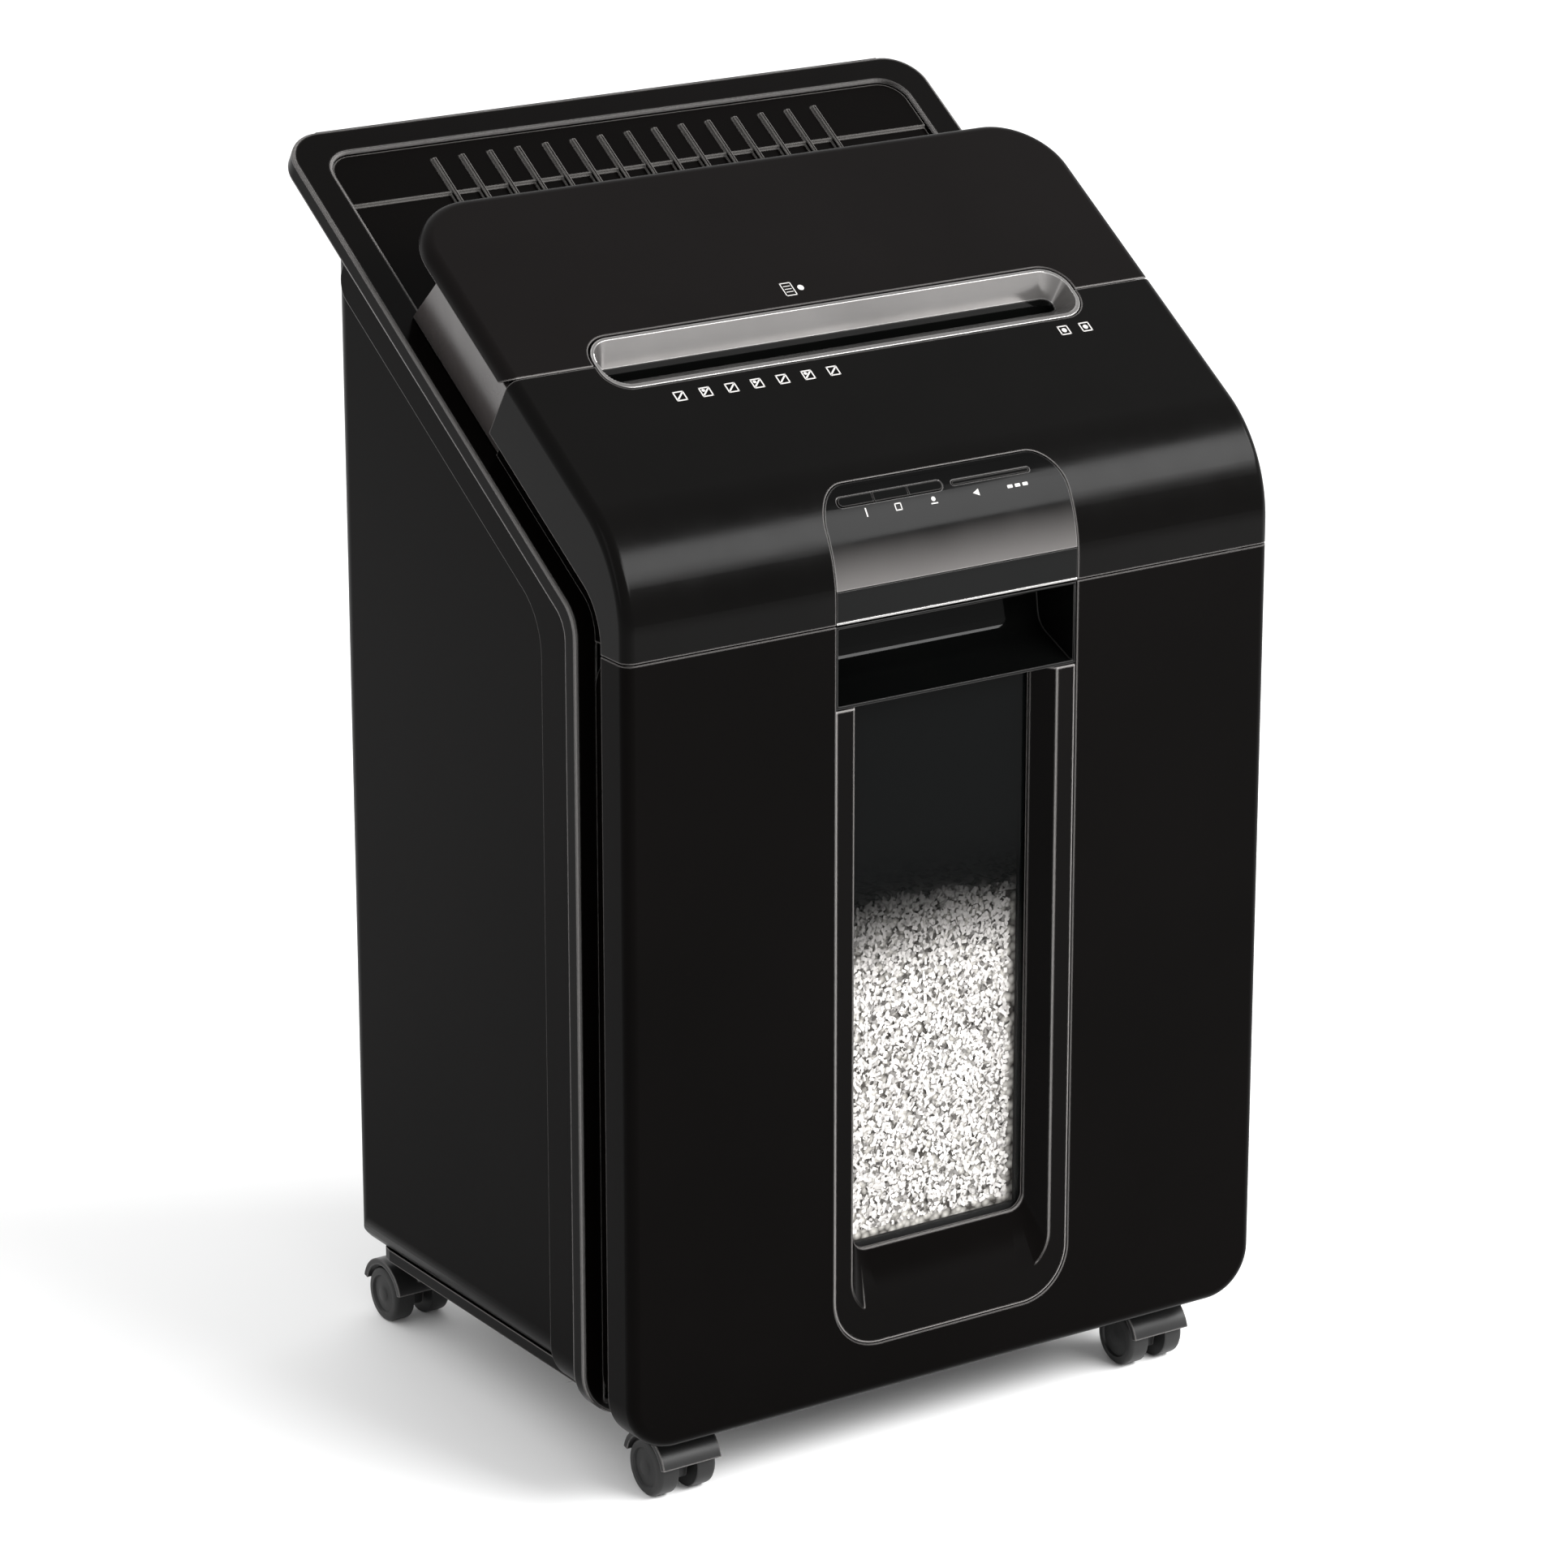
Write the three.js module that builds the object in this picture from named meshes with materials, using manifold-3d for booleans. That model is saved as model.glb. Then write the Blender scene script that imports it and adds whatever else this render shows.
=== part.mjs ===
// Free-standing paper shredder with an auto-feed tray under a sloping lid, a manual slot,
// a pull-out bin with a window, and four swivel casters.
//
// Millimetres, +Z up. Modelling starts with y = 0 on the front face, x = 0 on the centre
// plane and z = 0 on the floor. The finished group is shifted so that its origin lies in
// the middle of its footprint.
//
// The top of the machine slopes. Pieces on the slope use slope coordinates: x across,
// s up the slope from the seam of the lid, and n square to the lid's outer face.

import * as THREE from 'three';
import { mergeVertices } from 'three/addons/utils/BufferGeometryUtils.js';
import Module from 'manifold-3d';

const wasm = await Module();
wasm.setup();

// ---------------------------------------------------------------- driving dimensions

const GAP = 0.3; // clearance between neighbouring pieces
const WALL = 3; // moulded wall thickness

const SHELL_HALF = 160; // half width of bin front, top casing and lid
const SHELL_BOTTOM = 33; // lower edge of the bin front above the floor
const SHELL_DEPTH = 18.5; // depth of the side walls of the front shell
const EDGE_ROUND = 5; // rounding of the shell's outer edges
const CORNER_ROUND = 22; // bottom corners of the front shell, seen from the front
const HEAD_SEAM = 374; // height of the seam between bin front and top casing

const SLOPE = THREE.MathUtils.degToRad(33);
const LID_SEAM = [86, 471.6]; // y and z of the seam where the lid begins
const BEND_RADIUS = 60; // bend from the upright front to the slope
const LID_LENGTH = 101.4;
const LID_CORNER = 30;
const LID_THICK = 7;
const COLLAR_DROP = 30; // how far the casing's side walls reach below the lid plane
const COLLAR_BEND = 28; // bend of the rear edge of those side walls

const RIM_HALF = 161; // body frame
const RIM_FRONT = 36;
const RIM_THICK = 8.5;
const RIM_DROP = 45; // upper face of the body frame below the lid plane
const RIM_BEND = 18; // bend of the body frame from upright to slope
const RIM_WIDTH = 15; // width of the rim round the tray
const TRAY_END = 190; // where the tray ends, up the slope
const FLOOR_STEP = 147; // where the tray floor steps, up the slope
const RIB_COUNT = 15;
const RIB_PITCH = 13.8;

const CABINET_HALF = 146;
const CABINET_BAND_HALF = 154; // half width of the raised band
const CABINET_BAND_DEPTH = 66; // rear edge of the raised band on the cabinet's sides
const CABINET_BOTTOM = 40;
const CABINET_TOP = 500;
const CABINET_REAR_LOW = 250;
const CABINET_REAR_HIGH = 256;

const SLOT_HALF_LENGTH = 119; // manual paper slot: outline of its bezel
const SLOT_HALF_WIDTH = 14.5;
const THROAT_HALF_LENGTH = 112;
const THROAT = [90.2, 96.2]; // front and rear wall of the throat, y
const THROAT_BOTTOM = 438;

const CHANNEL_HALF = 60; // upright channel that holds panel, handle and window
const CHANNEL_BOTTOM = 56;
const WINDOW_HALF = 43.7;
const WINDOW_BOTTOM = 95.4;
const HANDLE_BOTTOM = 338;

const TUB_HALF = 124;
const TUB_FRONT = 14.6;
const TUB_REAR = 232;
const TUB_BOTTOM = 49;
const TUB_TOP = 330;
const TUB_WALL = 2;

const GEAR_MODULE = 2;
const CUTTER_TEETH = 15;
const REDUCTION_SMALL_TEETH = 12;
const REDUCTION_LARGE_TEETH = 36;
const PINION_TEETH = 9;
const FEED_IDLER_TEETH = 10;
const FEED_ROLLER_TEETH = 12;
const GEAR_PLANE = [122.3, 130]; // x range of the gears next to the side plate
const OUTER_GEAR_PLANE = [132, 138]; // x range of the large reduction gear

const CUTTER_FRONT = [81, 378]; // y and z of the cutter shafts
const CUTTER_REAR = [111, 378];
const CUTTER_RADIUS = 17;
const CUTTER_CORE = 12;
const DISC_PITCH = 22;
const DISC_WIDTH = 9.4;
const FRONT_DISCS = 10;
const JOURNAL = 6;
const SIDE_PLATE = [118, 121]; // x range of a side plate

const CASTER_X = 122;
const CASTER_FRONT = 44; // y of the swivel pins
const CASTER_REAR = 233;
const CASTER_TRAIL = 15;
const WHEEL_RADIUS = 12.5;

const BASE = [34.3, 39.7]; // lower and upper face of the base plate
const CHASSIS = [341, 345]; // lower and upper face of the chassis plate

const BLACK = 0x151313;
const LID_BLACK = 0x1c1919;
const GLOSS_BLACK = 0x050505;
const STEEL = 0x9a9c9e;

// ---------------------------------------------------------------- shape helpers

const COS = Math.cos(SLOPE);
const SIN = Math.sin(SLOPE);

// Point [y, z] at slope coordinates s, n.
function onSlope(s, n) {
  return [LID_SEAM[0] + s * COS - n * SIN, LID_SEAM[1] + s * SIN + n * COS];
}

// Point [y, z] where the upright plane y meets the slope plane n.
function bendCorner(y, n) {
  const s = (y - LID_SEAM[0] + n * SIN) / COS;
  return onSlope(s, n);
}

// Outline through corners [a, b, radius], with each radius as an arc.
function rounded(corners, steps = 4) {
  const points = [];
  corners.forEach(([a, b, radius = 0], index) => {
    const here = new THREE.Vector2(a, b);
    if (radius === 0) {
      points.push(here);
      return;
    }
    const before = corners[(index + corners.length - 1) % corners.length];
    const after = corners[(index + 1) % corners.length];
    const back = new THREE.Vector2(before[0], before[1]).sub(here).normalize();
    const ahead = new THREE.Vector2(after[0], after[1]).sub(here).normalize();
    const half = Math.acos(THREE.MathUtils.clamp(back.dot(ahead), -1, 1)) / 2;
    const centre = back.clone().add(ahead).normalize().multiplyScalar(radius / Math.sin(half)).add(here);
    const start = here.clone().addScaledVector(back, radius / Math.tan(half)).sub(centre);
    const end = here.clone().addScaledVector(ahead, radius / Math.tan(half)).sub(centre);
    const sweep = Math.atan2(start.cross(end), start.dot(end));
    for (let step = 0; step <= steps; step += 1) {
      const turned = start.clone().rotateAround(new THREE.Vector2(), (sweep * step) / steps);
      points.push(turned.add(centre));
    }
  });
  return points;
}

function rectangle(a0, a1, b0, b1, radius = 0, steps = 4) {
  const [r00, r10, r11, r01] = Array.isArray(radius) ? radius : [radius, radius, radius, radius];
  return rounded([[a0, b0, r00], [a1, b0, r10], [a1, b1, r11], [a0, b1, r01]], steps);
}

function circle(a, b, radius, sides = 12) {
  const points = [];
  for (let side = 0; side < sides; side += 1) {
    const angle = (2 * Math.PI * side) / sides;
    points.push(new THREE.Vector2(a + radius * Math.cos(angle), b + radius * Math.sin(angle)));
  }
  return points;
}

function toSolid(geometry) {
  const source = geometry.clone();
  source.deleteAttribute('normal');
  source.deleteAttribute('uv');
  const merged = mergeVertices(source, 1e-4);
  return new wasm.Manifold(new wasm.Mesh({
    numProp: 3,
    vertProperties: new Float32Array(merged.attributes.position.array),
    triVerts: new Uint32Array(merged.index.array),
  }));
}

// Prism along x, y or z. An outline along x holds [y, z], along y [x, z], along z [x, y].
// A bevel rounds both ends inwards.
function prism(axis, outline, low, high, bevel = 0) {
  const geometry = new THREE.ExtrudeGeometry(new THREE.Shape(outline), {
    depth: high - low - 2 * bevel,
    steps: 1,
    bevelEnabled: bevel > 0,
    bevelThickness: bevel,
    bevelSize: bevel,
    bevelOffset: -bevel,
    bevelSegments: 3,
  });
  const [x, y, z] = [new THREE.Vector3(1, 0, 0), new THREE.Vector3(0, 1, 0), new THREE.Vector3(0, 0, 1)];
  const turn = new THREE.Matrix4();
  if (axis === 'x') turn.makeBasis(y, z, x).setPosition(low + bevel, 0, 0);
  if (axis === 'y') turn.makeBasis(x, z, y.negate()).setPosition(0, high - bevel, 0);
  if (axis === 'z') turn.setPosition(0, 0, low + bevel);
  return toSolid(geometry.applyMatrix4(turn));
}

function box(x0, x1, y0, y1, z0, z1) {
  return prism('z', rectangle(x0, x1, y0, y1), z0, z1);
}

function rod(x0, x1, [y, z], radius, sides = 12) {
  return prism('x', circle(y, z, radius, sides), x0, x1);
}

// Body of revolution about the x direction through [y, z]; profile points are [radius, x].
function turned(profile, [y, z], sides = 16) {
  const points = profile.map(([radius, x]) => new THREE.Vector2(radius, x));
  const geometry = new THREE.LatheGeometry(points, sides);
  geometry.rotateZ(-Math.PI / 2);
  geometry.translate(0, y, z);
  return toSolid(geometry);
}

// Closed body between two rings of the same number of 3-D points. The rings run
// anticlockwise when looked at from the upper one; `up` is the other of their two axes.
function loft(lower, upper, up = 'y') {
  const count = lower.length;
  const positions = [...lower, ...upper].flatMap((point) => point.toArray());
  const flat = lower.map((point) => new THREE.Vector2(point.x, point[up]));
  const index = [];
  for (const [a, b, c] of THREE.ShapeUtils.triangulateShape(flat, [])) {
    index.push(c, b, a, count + a, count + b, count + c);
  }
  for (let here = 0; here < count; here += 1) {
    const next = (here + 1) % count;
    index.push(here, next, count + next, here, count + next, count + here);
  }
  const geometry = new THREE.BufferGeometry();
  geometry.setAttribute('position', new THREE.Float32BufferAttribute(positions, 3));
  geometry.setIndex(index);
  return toSolid(geometry);
}

const slopeMatrix = new THREE.Matrix4().makeRotationX(SLOPE).setPosition(0, ...LID_SEAM);

// Moves a solid made in slope coordinates into place.
function tilt(solid) {
  return toSolid(toGeometry(solid).applyMatrix4(slopeMatrix));
}

function toGeometry(solid) {
  const mesh = solid.getMesh();
  const geometry = new THREE.BufferGeometry();
  geometry.setAttribute('position', new THREE.BufferAttribute(new Float32Array(mesh.vertProperties), 3));
  geometry.setIndex(new THREE.BufferAttribute(new Uint32Array(mesh.triVerts), 1));
  geometry.computeVertexNormals();
  return geometry;
}

// ---------------------------------------------------------------- scene graph

const shredder = new THREE.Group();
const slope = new THREE.Group();
slope.position.set(0, ...LID_SEAM);
slope.rotation.x = SLOPE;
shredder.add(slope);

function finish(color, roughness, metalness = 0) {
  return new THREE.MeshStandardMaterial({ color, roughness, metalness });
}

function add(name, solid, material, parent = shredder) {
  const mesh = new THREE.Mesh(toGeometry(solid), material);
  mesh.name = name;
  parent.add(mesh);
}

const satin = () => finish(BLACK, 0.45);
const gloss = () => finish(GLOSS_BLACK, 0.08);
const steel = () => finish(STEEL, 0.35, 1);
const gearPlastic = () => finish(0xd8d4c8, 0.5);

const SIDES = [['left', -1], ['right', 1]];

// x range mirrored to the left or right side, lowest value first.
function span(side, near, far) {
  return side > 0 ? [near, far] : [-far, -near];
}

// ---------------------------------------------------------------- outer shells

// Outline, seen from the side, of the strip between the outer skin at depth `skin` and the
// surface that lies at y = back on the front and at n = -drop on the slope.
function casingStrip(skin, back, drop, foot, top, backRadius = 0) {
  return rounded([
    [skin, foot],
    [back, foot],
    [...bendCorner(back, -drop), backRadius],
    onSlope(top, -drop),
    onSlope(top, -skin),
    [...bendCorner(skin, -skin), BEND_RADIUS - skin],
  ], 9);
}

const PANEL_TOP = 427;
const panelOutline = (margin) => rectangle(
  -CHANNEL_HALF + margin, CHANNEL_HALF - margin, HEAD_SEAM - 20, PANEL_TOP - margin, [0, 0, 15, 15], 5,
);

const LID_PIVOT = [-12, -7]; // hinge of the lid in slope coordinates s, n
const LID_PIN_RADIUS = 2.2;

// Cuts the outline of the slot bezel out of the casing or the lid.
function slotOutline(margin) {
  const length = SLOT_HALF_LENGTH + margin;
  const width = SLOT_HALF_WIDTH + margin;
  return rectangle(-length, length, -width, width, 12 + margin, 5);
}

function topCasing() {
  const thick = casingStrip(0, 90, 90, HEAD_SEAM - 60, 60);
  const thin = casingStrip(0, SHELL_DEPTH, COLLAR_DROP, HEAD_SEAM + GAP, -0.2, COLLAR_BEND);
  const edged = prism('x', thick, -SHELL_HALF, SHELL_HALF, EDGE_ROUND);
  const strip = prism('x', thin, -SHELL_HALF, SHELL_HALF);
  const inside = SHELL_HALF - WALL;
  const hollow = prism('x', casingStrip(WALL, 70, 60, HEAD_SEAM - 10, 20), -inside, inside);
  let casing = edged.intersect(strip).subtract(hollow);
  casing = casing.subtract(tilt(prism('z', slotOutline(0.3), -40, 5)));
  casing = casing.subtract(prism('y', panelOutline(0), -5, 60));
  const [s, n] = LID_PIVOT;
  const lug = rounded([
    [s - 7, n + 4.5],
    [s + 7, n + 4.5],
    [s + 7, n - 1],
    [s + 3, n - 4.5, 2],
    [s - 3, n - 4.5, 2],
    [s - 7, n - 1],
  ], 2);
  for (const [, side] of SIDES) {
    casing = casing.add(tilt(prism('x', lug, ...span(side, 141, 145))));
    casing = casing.add(tilt(rod(...span(side, 131.5, 142), LID_PIVOT, LID_PIN_RADIUS)));
  }
  add('top_casing', casing, satin());
}

function headCollar() {
  const foot = HEAD_SEAM + GAP;
  const outline = rounded([
    [SHELL_DEPTH + GAP, foot],
    [RIM_FRONT - GAP, foot],
    [...bendCorner(RIM_FRONT - GAP, -RIM_DROP + GAP), RIM_BEND],
    onSlope(-0.3, -RIM_DROP + GAP),
    onSlope(-0.3, -COLLAR_DROP - GAP),
    [...bendCorner(SHELL_DEPTH + GAP, -COLLAR_DROP - GAP), COLLAR_BEND],
  ], 9);
  const collar = prism('x', outline, -152, 152);
  add('head_collar', collar.subtract(box(-148, 148, 0, 200, HEAD_SEAM + 8, 600)), satin());
}

function bodyFrame() {
  const back = RIM_FRONT + RIM_THICK;
  const strip = prism('x', rounded([
    [RIM_FRONT, RIM_FRONT],
    [back, RIM_FRONT],
    [...bendCorner(back, -RIM_DROP - RIM_THICK), RIM_BEND - 4],
    onSlope(TRAY_END, -RIM_DROP - RIM_THICK),
    onSlope(TRAY_END, -RIM_DROP),
    [...bendCorner(RIM_FRONT, -RIM_DROP), RIM_BEND],
  ], 6), -RIM_HALF, RIM_HALF);
  const frontView = prism('y', rectangle(-RIM_HALF, RIM_HALF, RIM_FRONT, 700, [22, 22, 0, 0]), 0, 400);
  const tray = rectangle(-RIM_HALF, RIM_HALF, -400, TRAY_END, [0, 0, 18, 18], 6);
  const topView = tilt(prism('z', tray, -450, 50));
  const binOpening = box(-150, 150, 0, 100, RIM_FRONT + 8, HEAD_SEAM);
  const footOpening = box(-141, 141, 0, 100, 0, RIM_FRONT + 10);
  const inner = RIM_HALF - RIM_WIDTH;
  const trayOpening = prism('z', rectangle(-inner, inner, -62, TRAY_END - 14, [6, 6, 12, 12]), -70, -30);
  let frame = strip.intersect(frontView).intersect(topView);
  frame = frame.subtract(binOpening).subtract(footOpening).subtract(tilt(trayOpening));
  add('body_frame', frame, satin());
}

function trayFloor() {
  const half = RIM_HALF - RIM_WIDTH - GAP;
  const end = TRAY_END - 14 - GAP;
  const low = prism('z', rectangle(-half, half, 14, FLOOR_STEP + 1), -50, -48);
  const high = prism('z', rectangle(-half, half, FLOOR_STEP, end, [0, 0, 11.7, 11.7]), -50, -46.8);
  let floor = low.add(high);
  for (let rib = 0; rib < RIB_COUNT; rib += 1) {
    const x = (rib - (RIB_COUNT - 1) / 2) * RIB_PITCH;
    floor = floor.add(box(x - 1, x + 1, 118, 167, -49, -45.4));
  }
  add('tray_floor', floor, finish(LID_BLACK, 0.45), slope);
}

// Curved side walls that close the sides of the paper pocket under the lid.
function trayCheeks() {
  for (const [name, side] of SIDES) {
    const across = [[148, -44.6], [151, -44.6], [153.6, -30], [157.5, -7.4], [154.5, -7.4], [150.6, -30]];
    const wall = prism('y', across.map(([x, n]) => new THREE.Vector2(side * x, n)), 0.4, 90);
    const end = [[62, 0], [82, -50], [120, -50], [120, 0]].map(([s, n]) => new THREE.Vector2(s, n));
    add(`tray_cheek_${name}`, wall.subtract(prism('x', end, -200, 200)), finish(0x2a2727, 0.25), slope);
  }
}

function cabinetShell() {
  const sideView = (inset) => [
    [inset > 0 ? 20 : RIM_FRONT + RIM_THICK + GAP, CABINET_BOTTOM + inset],
    [CABINET_REAR_LOW - inset, CABINET_BOTTOM + inset, 10],
    [CABINET_REAR_HIGH - inset, CABINET_TOP - inset, 26 - inset],
  ];
  const under = -RIM_DROP - RIM_THICK - GAP;
  const topFront = [...bendCorner(RIM_FRONT + RIM_THICK + GAP, under), RIM_BEND - 4 - GAP];
  const topRear = onSlope((CABINET_TOP - LID_SEAM[1] - under * COS) / SIN, under);
  const outerSide = rounded([...sideView(0), topRear, topFront], 5);
  const innerSide = rounded([...sideView(WALL), [20, CABINET_TOP - WALL]], 5);
  const frontView = (inset) => rectangle(
    -CABINET_HALF + inset, CABINET_HALF - inset, CABINET_BOTTOM + inset, 700,
    [18 - inset, 18 - inset, 0, 0],
  );
  const plan = (inset) => rectangle(
    -CABINET_HALF + inset, CABINET_HALF - inset, -50, CABINET_REAR_HIGH - inset,
    [0, 0, 14 - inset, 14 - inset],
  );
  const block = (side, inset) => prism('x', side, -200, 200)
    .intersect(prism('y', frontView(inset), 0, 400))
    .intersect(prism('z', plan(inset), 0, 700));

  const bandLine = -75;
  const bandEnd = [236, 479.6];
  const bandStrip = (inset) => rounded([
    [RIM_FRONT + RIM_THICK + GAP - inset, CABINET_BOTTOM + inset],
    [CABINET_BAND_DEPTH - inset, CABINET_BOTTOM + inset],
    [...bendCorner(CABINET_BAND_DEPTH - inset, bandLine + inset), 30],
    [bandEnd[0] - inset, bandEnd[1] - inset * SIN, 10],
    [bandEnd[0] - 21.2 * SIN - inset, bandEnd[1] + 21.2 * COS - inset * SIN + 2 * inset],
    [topFront[0] - inset, topFront[1] + 2 * inset, topFront[2]],
  ], 5);
  const bandFront = (inset) => rectangle(
    -CABINET_BAND_HALF + inset, CABINET_BAND_HALF - inset, CABINET_BOTTOM + inset, 700,
    [20 - inset, 20 - inset, 0, 0],
  );
  const band = (inset) => (
    prism('x', bandStrip(inset), -200, 200).intersect(prism('y', bandFront(inset), 0, 400))
  );

  let shell = block(outerSide, 0).add(band(0));
  shell = shell.subtract(block(innerSide, WALL)).subtract(band(WALL));
  for (const [, side] of SIDES) {
    const rail = box(...span(side, 106, 116), 50, 246, CABINET_BOTTOM + 1, TUB_BOTTOM - GAP);
    shell = shell.add(rail);
  }
  add('cabinet_shell', shell.subtract(rearOpening(0)), satin());
}

// The rear panel fills this opening in the cabinet's rear wall.
function rearOpening(margin) {
  return prism('y', rectangle(-115 + margin, 115 - margin, 345 + margin, 470 - margin, 8), 240, 270);
}

const INLET = [-75, 385]; // x and z of the mains inlet
const ROCKER = [75, 385]; // x and z of the main switch

function rearWallAt(z) {
  const rise = (z - CABINET_BOTTOM) / (CABINET_TOP - CABINET_BOTTOM);
  return CABINET_REAR_LOW + rise * (CABINET_REAR_HIGH - CABINET_REAR_LOW);
}

function rearPanel() {
  const outline = rounded([
    [rearWallAt(300) - WALL, 300],
    [rearWallAt(300), 300],
    [rearWallAt(490), 490],
    [rearWallAt(490) - WALL, 490],
  ]);
  let panel = prism('x', outline, -150, 150).intersect(rearOpening(GAP));
  for (let row = 0; row < 9; row += 1) {
    const z = 358 + row * 12;
    panel = panel.subtract(box(-44, 44, 200, 300, z - 2, z + 2));
  }
  for (const [[x, z], halfWidth, halfHeight] of [[INLET, 14, 10.5], [ROCKER, 9.5, 7]]) {
    panel = panel.subtract(box(x - halfWidth, x + halfWidth, 200, 300, z - halfHeight, z + halfHeight));
  }
  add('rear_panel', panel, satin());
}

function powerInlet() {
  const [x, z] = INLET;
  const face = rearWallAt(z + 14) + GAP;
  const body = rectangle(x - 13.5, x + 13.5, z - 10, z + 10, 2, 2);
  const flange = rectangle(x - 17, x + 17, z - 13, z + 13, 3, 2);
  const socket = rectangle(x - 11.5, x + 11.5, z - 8, z + 8, [1, 1, 5, 5], 2);
  let inlet = prism('y', body, 234, face + 0.5);
  inlet = inlet.add(prism('y', flange, face, face + 1.8));
  inlet = inlet.subtract(prism('y', socket, 238, 270));
  for (const [dx, dz] of [[-6, -2], [0, 2.5], [6, -2]]) {
    inlet = inlet.add(box(x + dx - 1, x + dx + 1, 236, 251, z + dz - 2.2, z + dz + 2.2));
  }
  add('power_inlet', inlet, finish(0x101010, 0.4));
}

function powerRocker() {
  const pivot = new THREE.Vector2(249, ROCKER[1]);
  const tiltAngle = THREE.MathUtils.degToRad(-6);
  const outline = [[-4, -4], [6.8, -5.8], [5.9, 0], [6.8, 5.8], [-4, 4]].map(([y, z]) => (
    new THREE.Vector2(pivot.x + y, pivot.y + z).rotateAround(pivot, tiltAngle)
  ));
  add('power_rocker', prism('x', outline, ROCKER[0] - 9, ROCKER[0] + 9), finish(0x0c0c0c, 0.3));
}

function basePlate() {
  let plate = prism('z', rectangle(-140, 140, 22, 246, 12), ...BASE);
  for (const x of [-CASTER_X, CASTER_X]) {
    for (const y of [CASTER_FRONT, CASTER_REAR]) {
      plate = plate.subtract(prism('z', circle(x, y, 5.4), 30, 45));
    }
  }
  add('base_plate', plate, satin());
}

// ---------------------------------------------------------------- lid and its hinge

function lid() {
  const plan = rectangle(-SHELL_HALF, SHELL_HALF, -30, LID_LENGTH, [0, 0, LID_CORNER, LID_CORNER], 7);
  const block = prism('z', plan, -40, 0, EDGE_ROUND);
  const keep = box(-200, 200, 0.25, 200, -LID_THICK, 10);
  const half = SHELL_HALF - 3.5;
  const pocket = prism('z', rectangle(-half, half, 8, LID_LENGTH - 3.5, [0, 0, 26, 26], 5), -20, -WALL);
  const undercut = prism('x', rounded([[-5, -0.5], [0.25, -0.5], [6, -8], [-5, -8]]), -200, 200);
  const notch = prism('z', slotOutline(0.8), -20, 5);
  const shell = block.intersect(keep).subtract(pocket).subtract(undercut).subtract(notch);
  add('feed_lid', shell, finish(LID_BLACK, 0.5), slope);
}

const PRESS_PIVOT = [86, -14]; // hinge of the pressure plate in slope coordinates s, n

function lidLiner() {
  let liner = prism('z', rectangle(-125, 125, 20, 95, 10, 3), -9.3, -7.3);
  const [s, n] = PRESS_PIVOT;
  const ear = rounded([[s - 6, n + 5], [s + 6, n + 5], [s + 4, n - 4, 3], [s - 4, n - 4, 3]], 3);
  for (const [, side] of SIDES) {
    liner = liner.add(prism('x', ear, ...span(side, 44, 48)));
    liner = liner.subtract(rod(...span(side, 40, 52), PRESS_PIVOT, 2.4));
  }
  add('lid_liner', liner, satin(), slope);
}

// Gooseneck arms: they reach round the end of the casing when the lid is open.
function hingeArms() {
  const [s, n] = LID_PIVOT;
  const outline = rounded([
    [s - 3.6, n + 3.4, 3.3],
    [s + 3.4, n + 3.4, 3.3],
    [s + 3.4, n - 12.5],
    [s + 21.5, n - 12.5],
    [s + 21.5, n + 3.6],
    [s + 36, n + 3.6],
    [s + 36, n],
    [s + 27.5, n],
    [s + 27.5, n - 18.5, 3],
    [s - 3.6, n - 18.5, 3],
  ], 3);
  for (const [name, side] of SIDES) {
    const arm = prism('x', outline, ...span(side, 132, 140));
    add(`hinge_arm_${name}`, arm.subtract(rod(...span(side, 120, 150), LID_PIVOT, 2.5)), steel(), slope);
  }
}

// Sprung paddle under the lid that presses the stack of paper on the feed rollers.
function pressurePlate() {
  const paddle = new THREE.Group();
  paddle.position.set(0, ...PRESS_PIVOT);
  paddle.rotation.x = THREE.MathUtils.degToRad(20);
  slope.add(paddle);
  let plate = box(-38, 38, -62, 0, -1, 1);
  plate = plate.add(rod(-42, 42, [0, 0], 3, 10)).add(rod(-49, 49, [0, 0], 2, 10));
  add('pressure_plate', plate, satin(), paddle);
}

// ---------------------------------------------------------------- slot and control panel

function throatBezel() {
  const inSpace = (outline, n) => outline.map(({ x, y }) => new THREE.Vector3(x, ...onSlope(y, n)));
  const level = (outline, z) => outline.map(({ x, y }) => new THREE.Vector3(x, y, z));
  const mouth = (length, width, radius) => rectangle(-length, length, -width, width, radius, 5);
  const neck = (length, margin, radius) => (
    rectangle(-length, length, THROAT[0] - margin, THROAT[1] + margin, radius, 5)
  );
  const rim = tilt(prism('z', mouth(SLOT_HALF_LENGTH - 0.2, SLOT_HALF_WIDTH - 0.2, 12), -3, 0));
  const outerNeck = neck(THROAT_HALF_LENGTH + 2.2, 2.2, 4);
  const outer = loft(level(outerNeck, THROAT_BOTTOM), level(outerNeck, 449))
    .add(loft(level(outerNeck, 448), inSpace(mouth(118, 13.6, 11), -1)));
  const innerNeck = neck(THROAT_HALF_LENGTH, 0, 2.6);
  const inner = loft(level(innerNeck, THROAT_BOTTOM - 5), level(innerNeck, 451))
    .add(loft(level(innerNeck, 450), inSpace(mouth(116.4, 11.9, 9.5), 1)));
  add('throat_bezel', outer.add(rim).subtract(inner), finish(0x8c8a88, 0.3));
}

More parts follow.
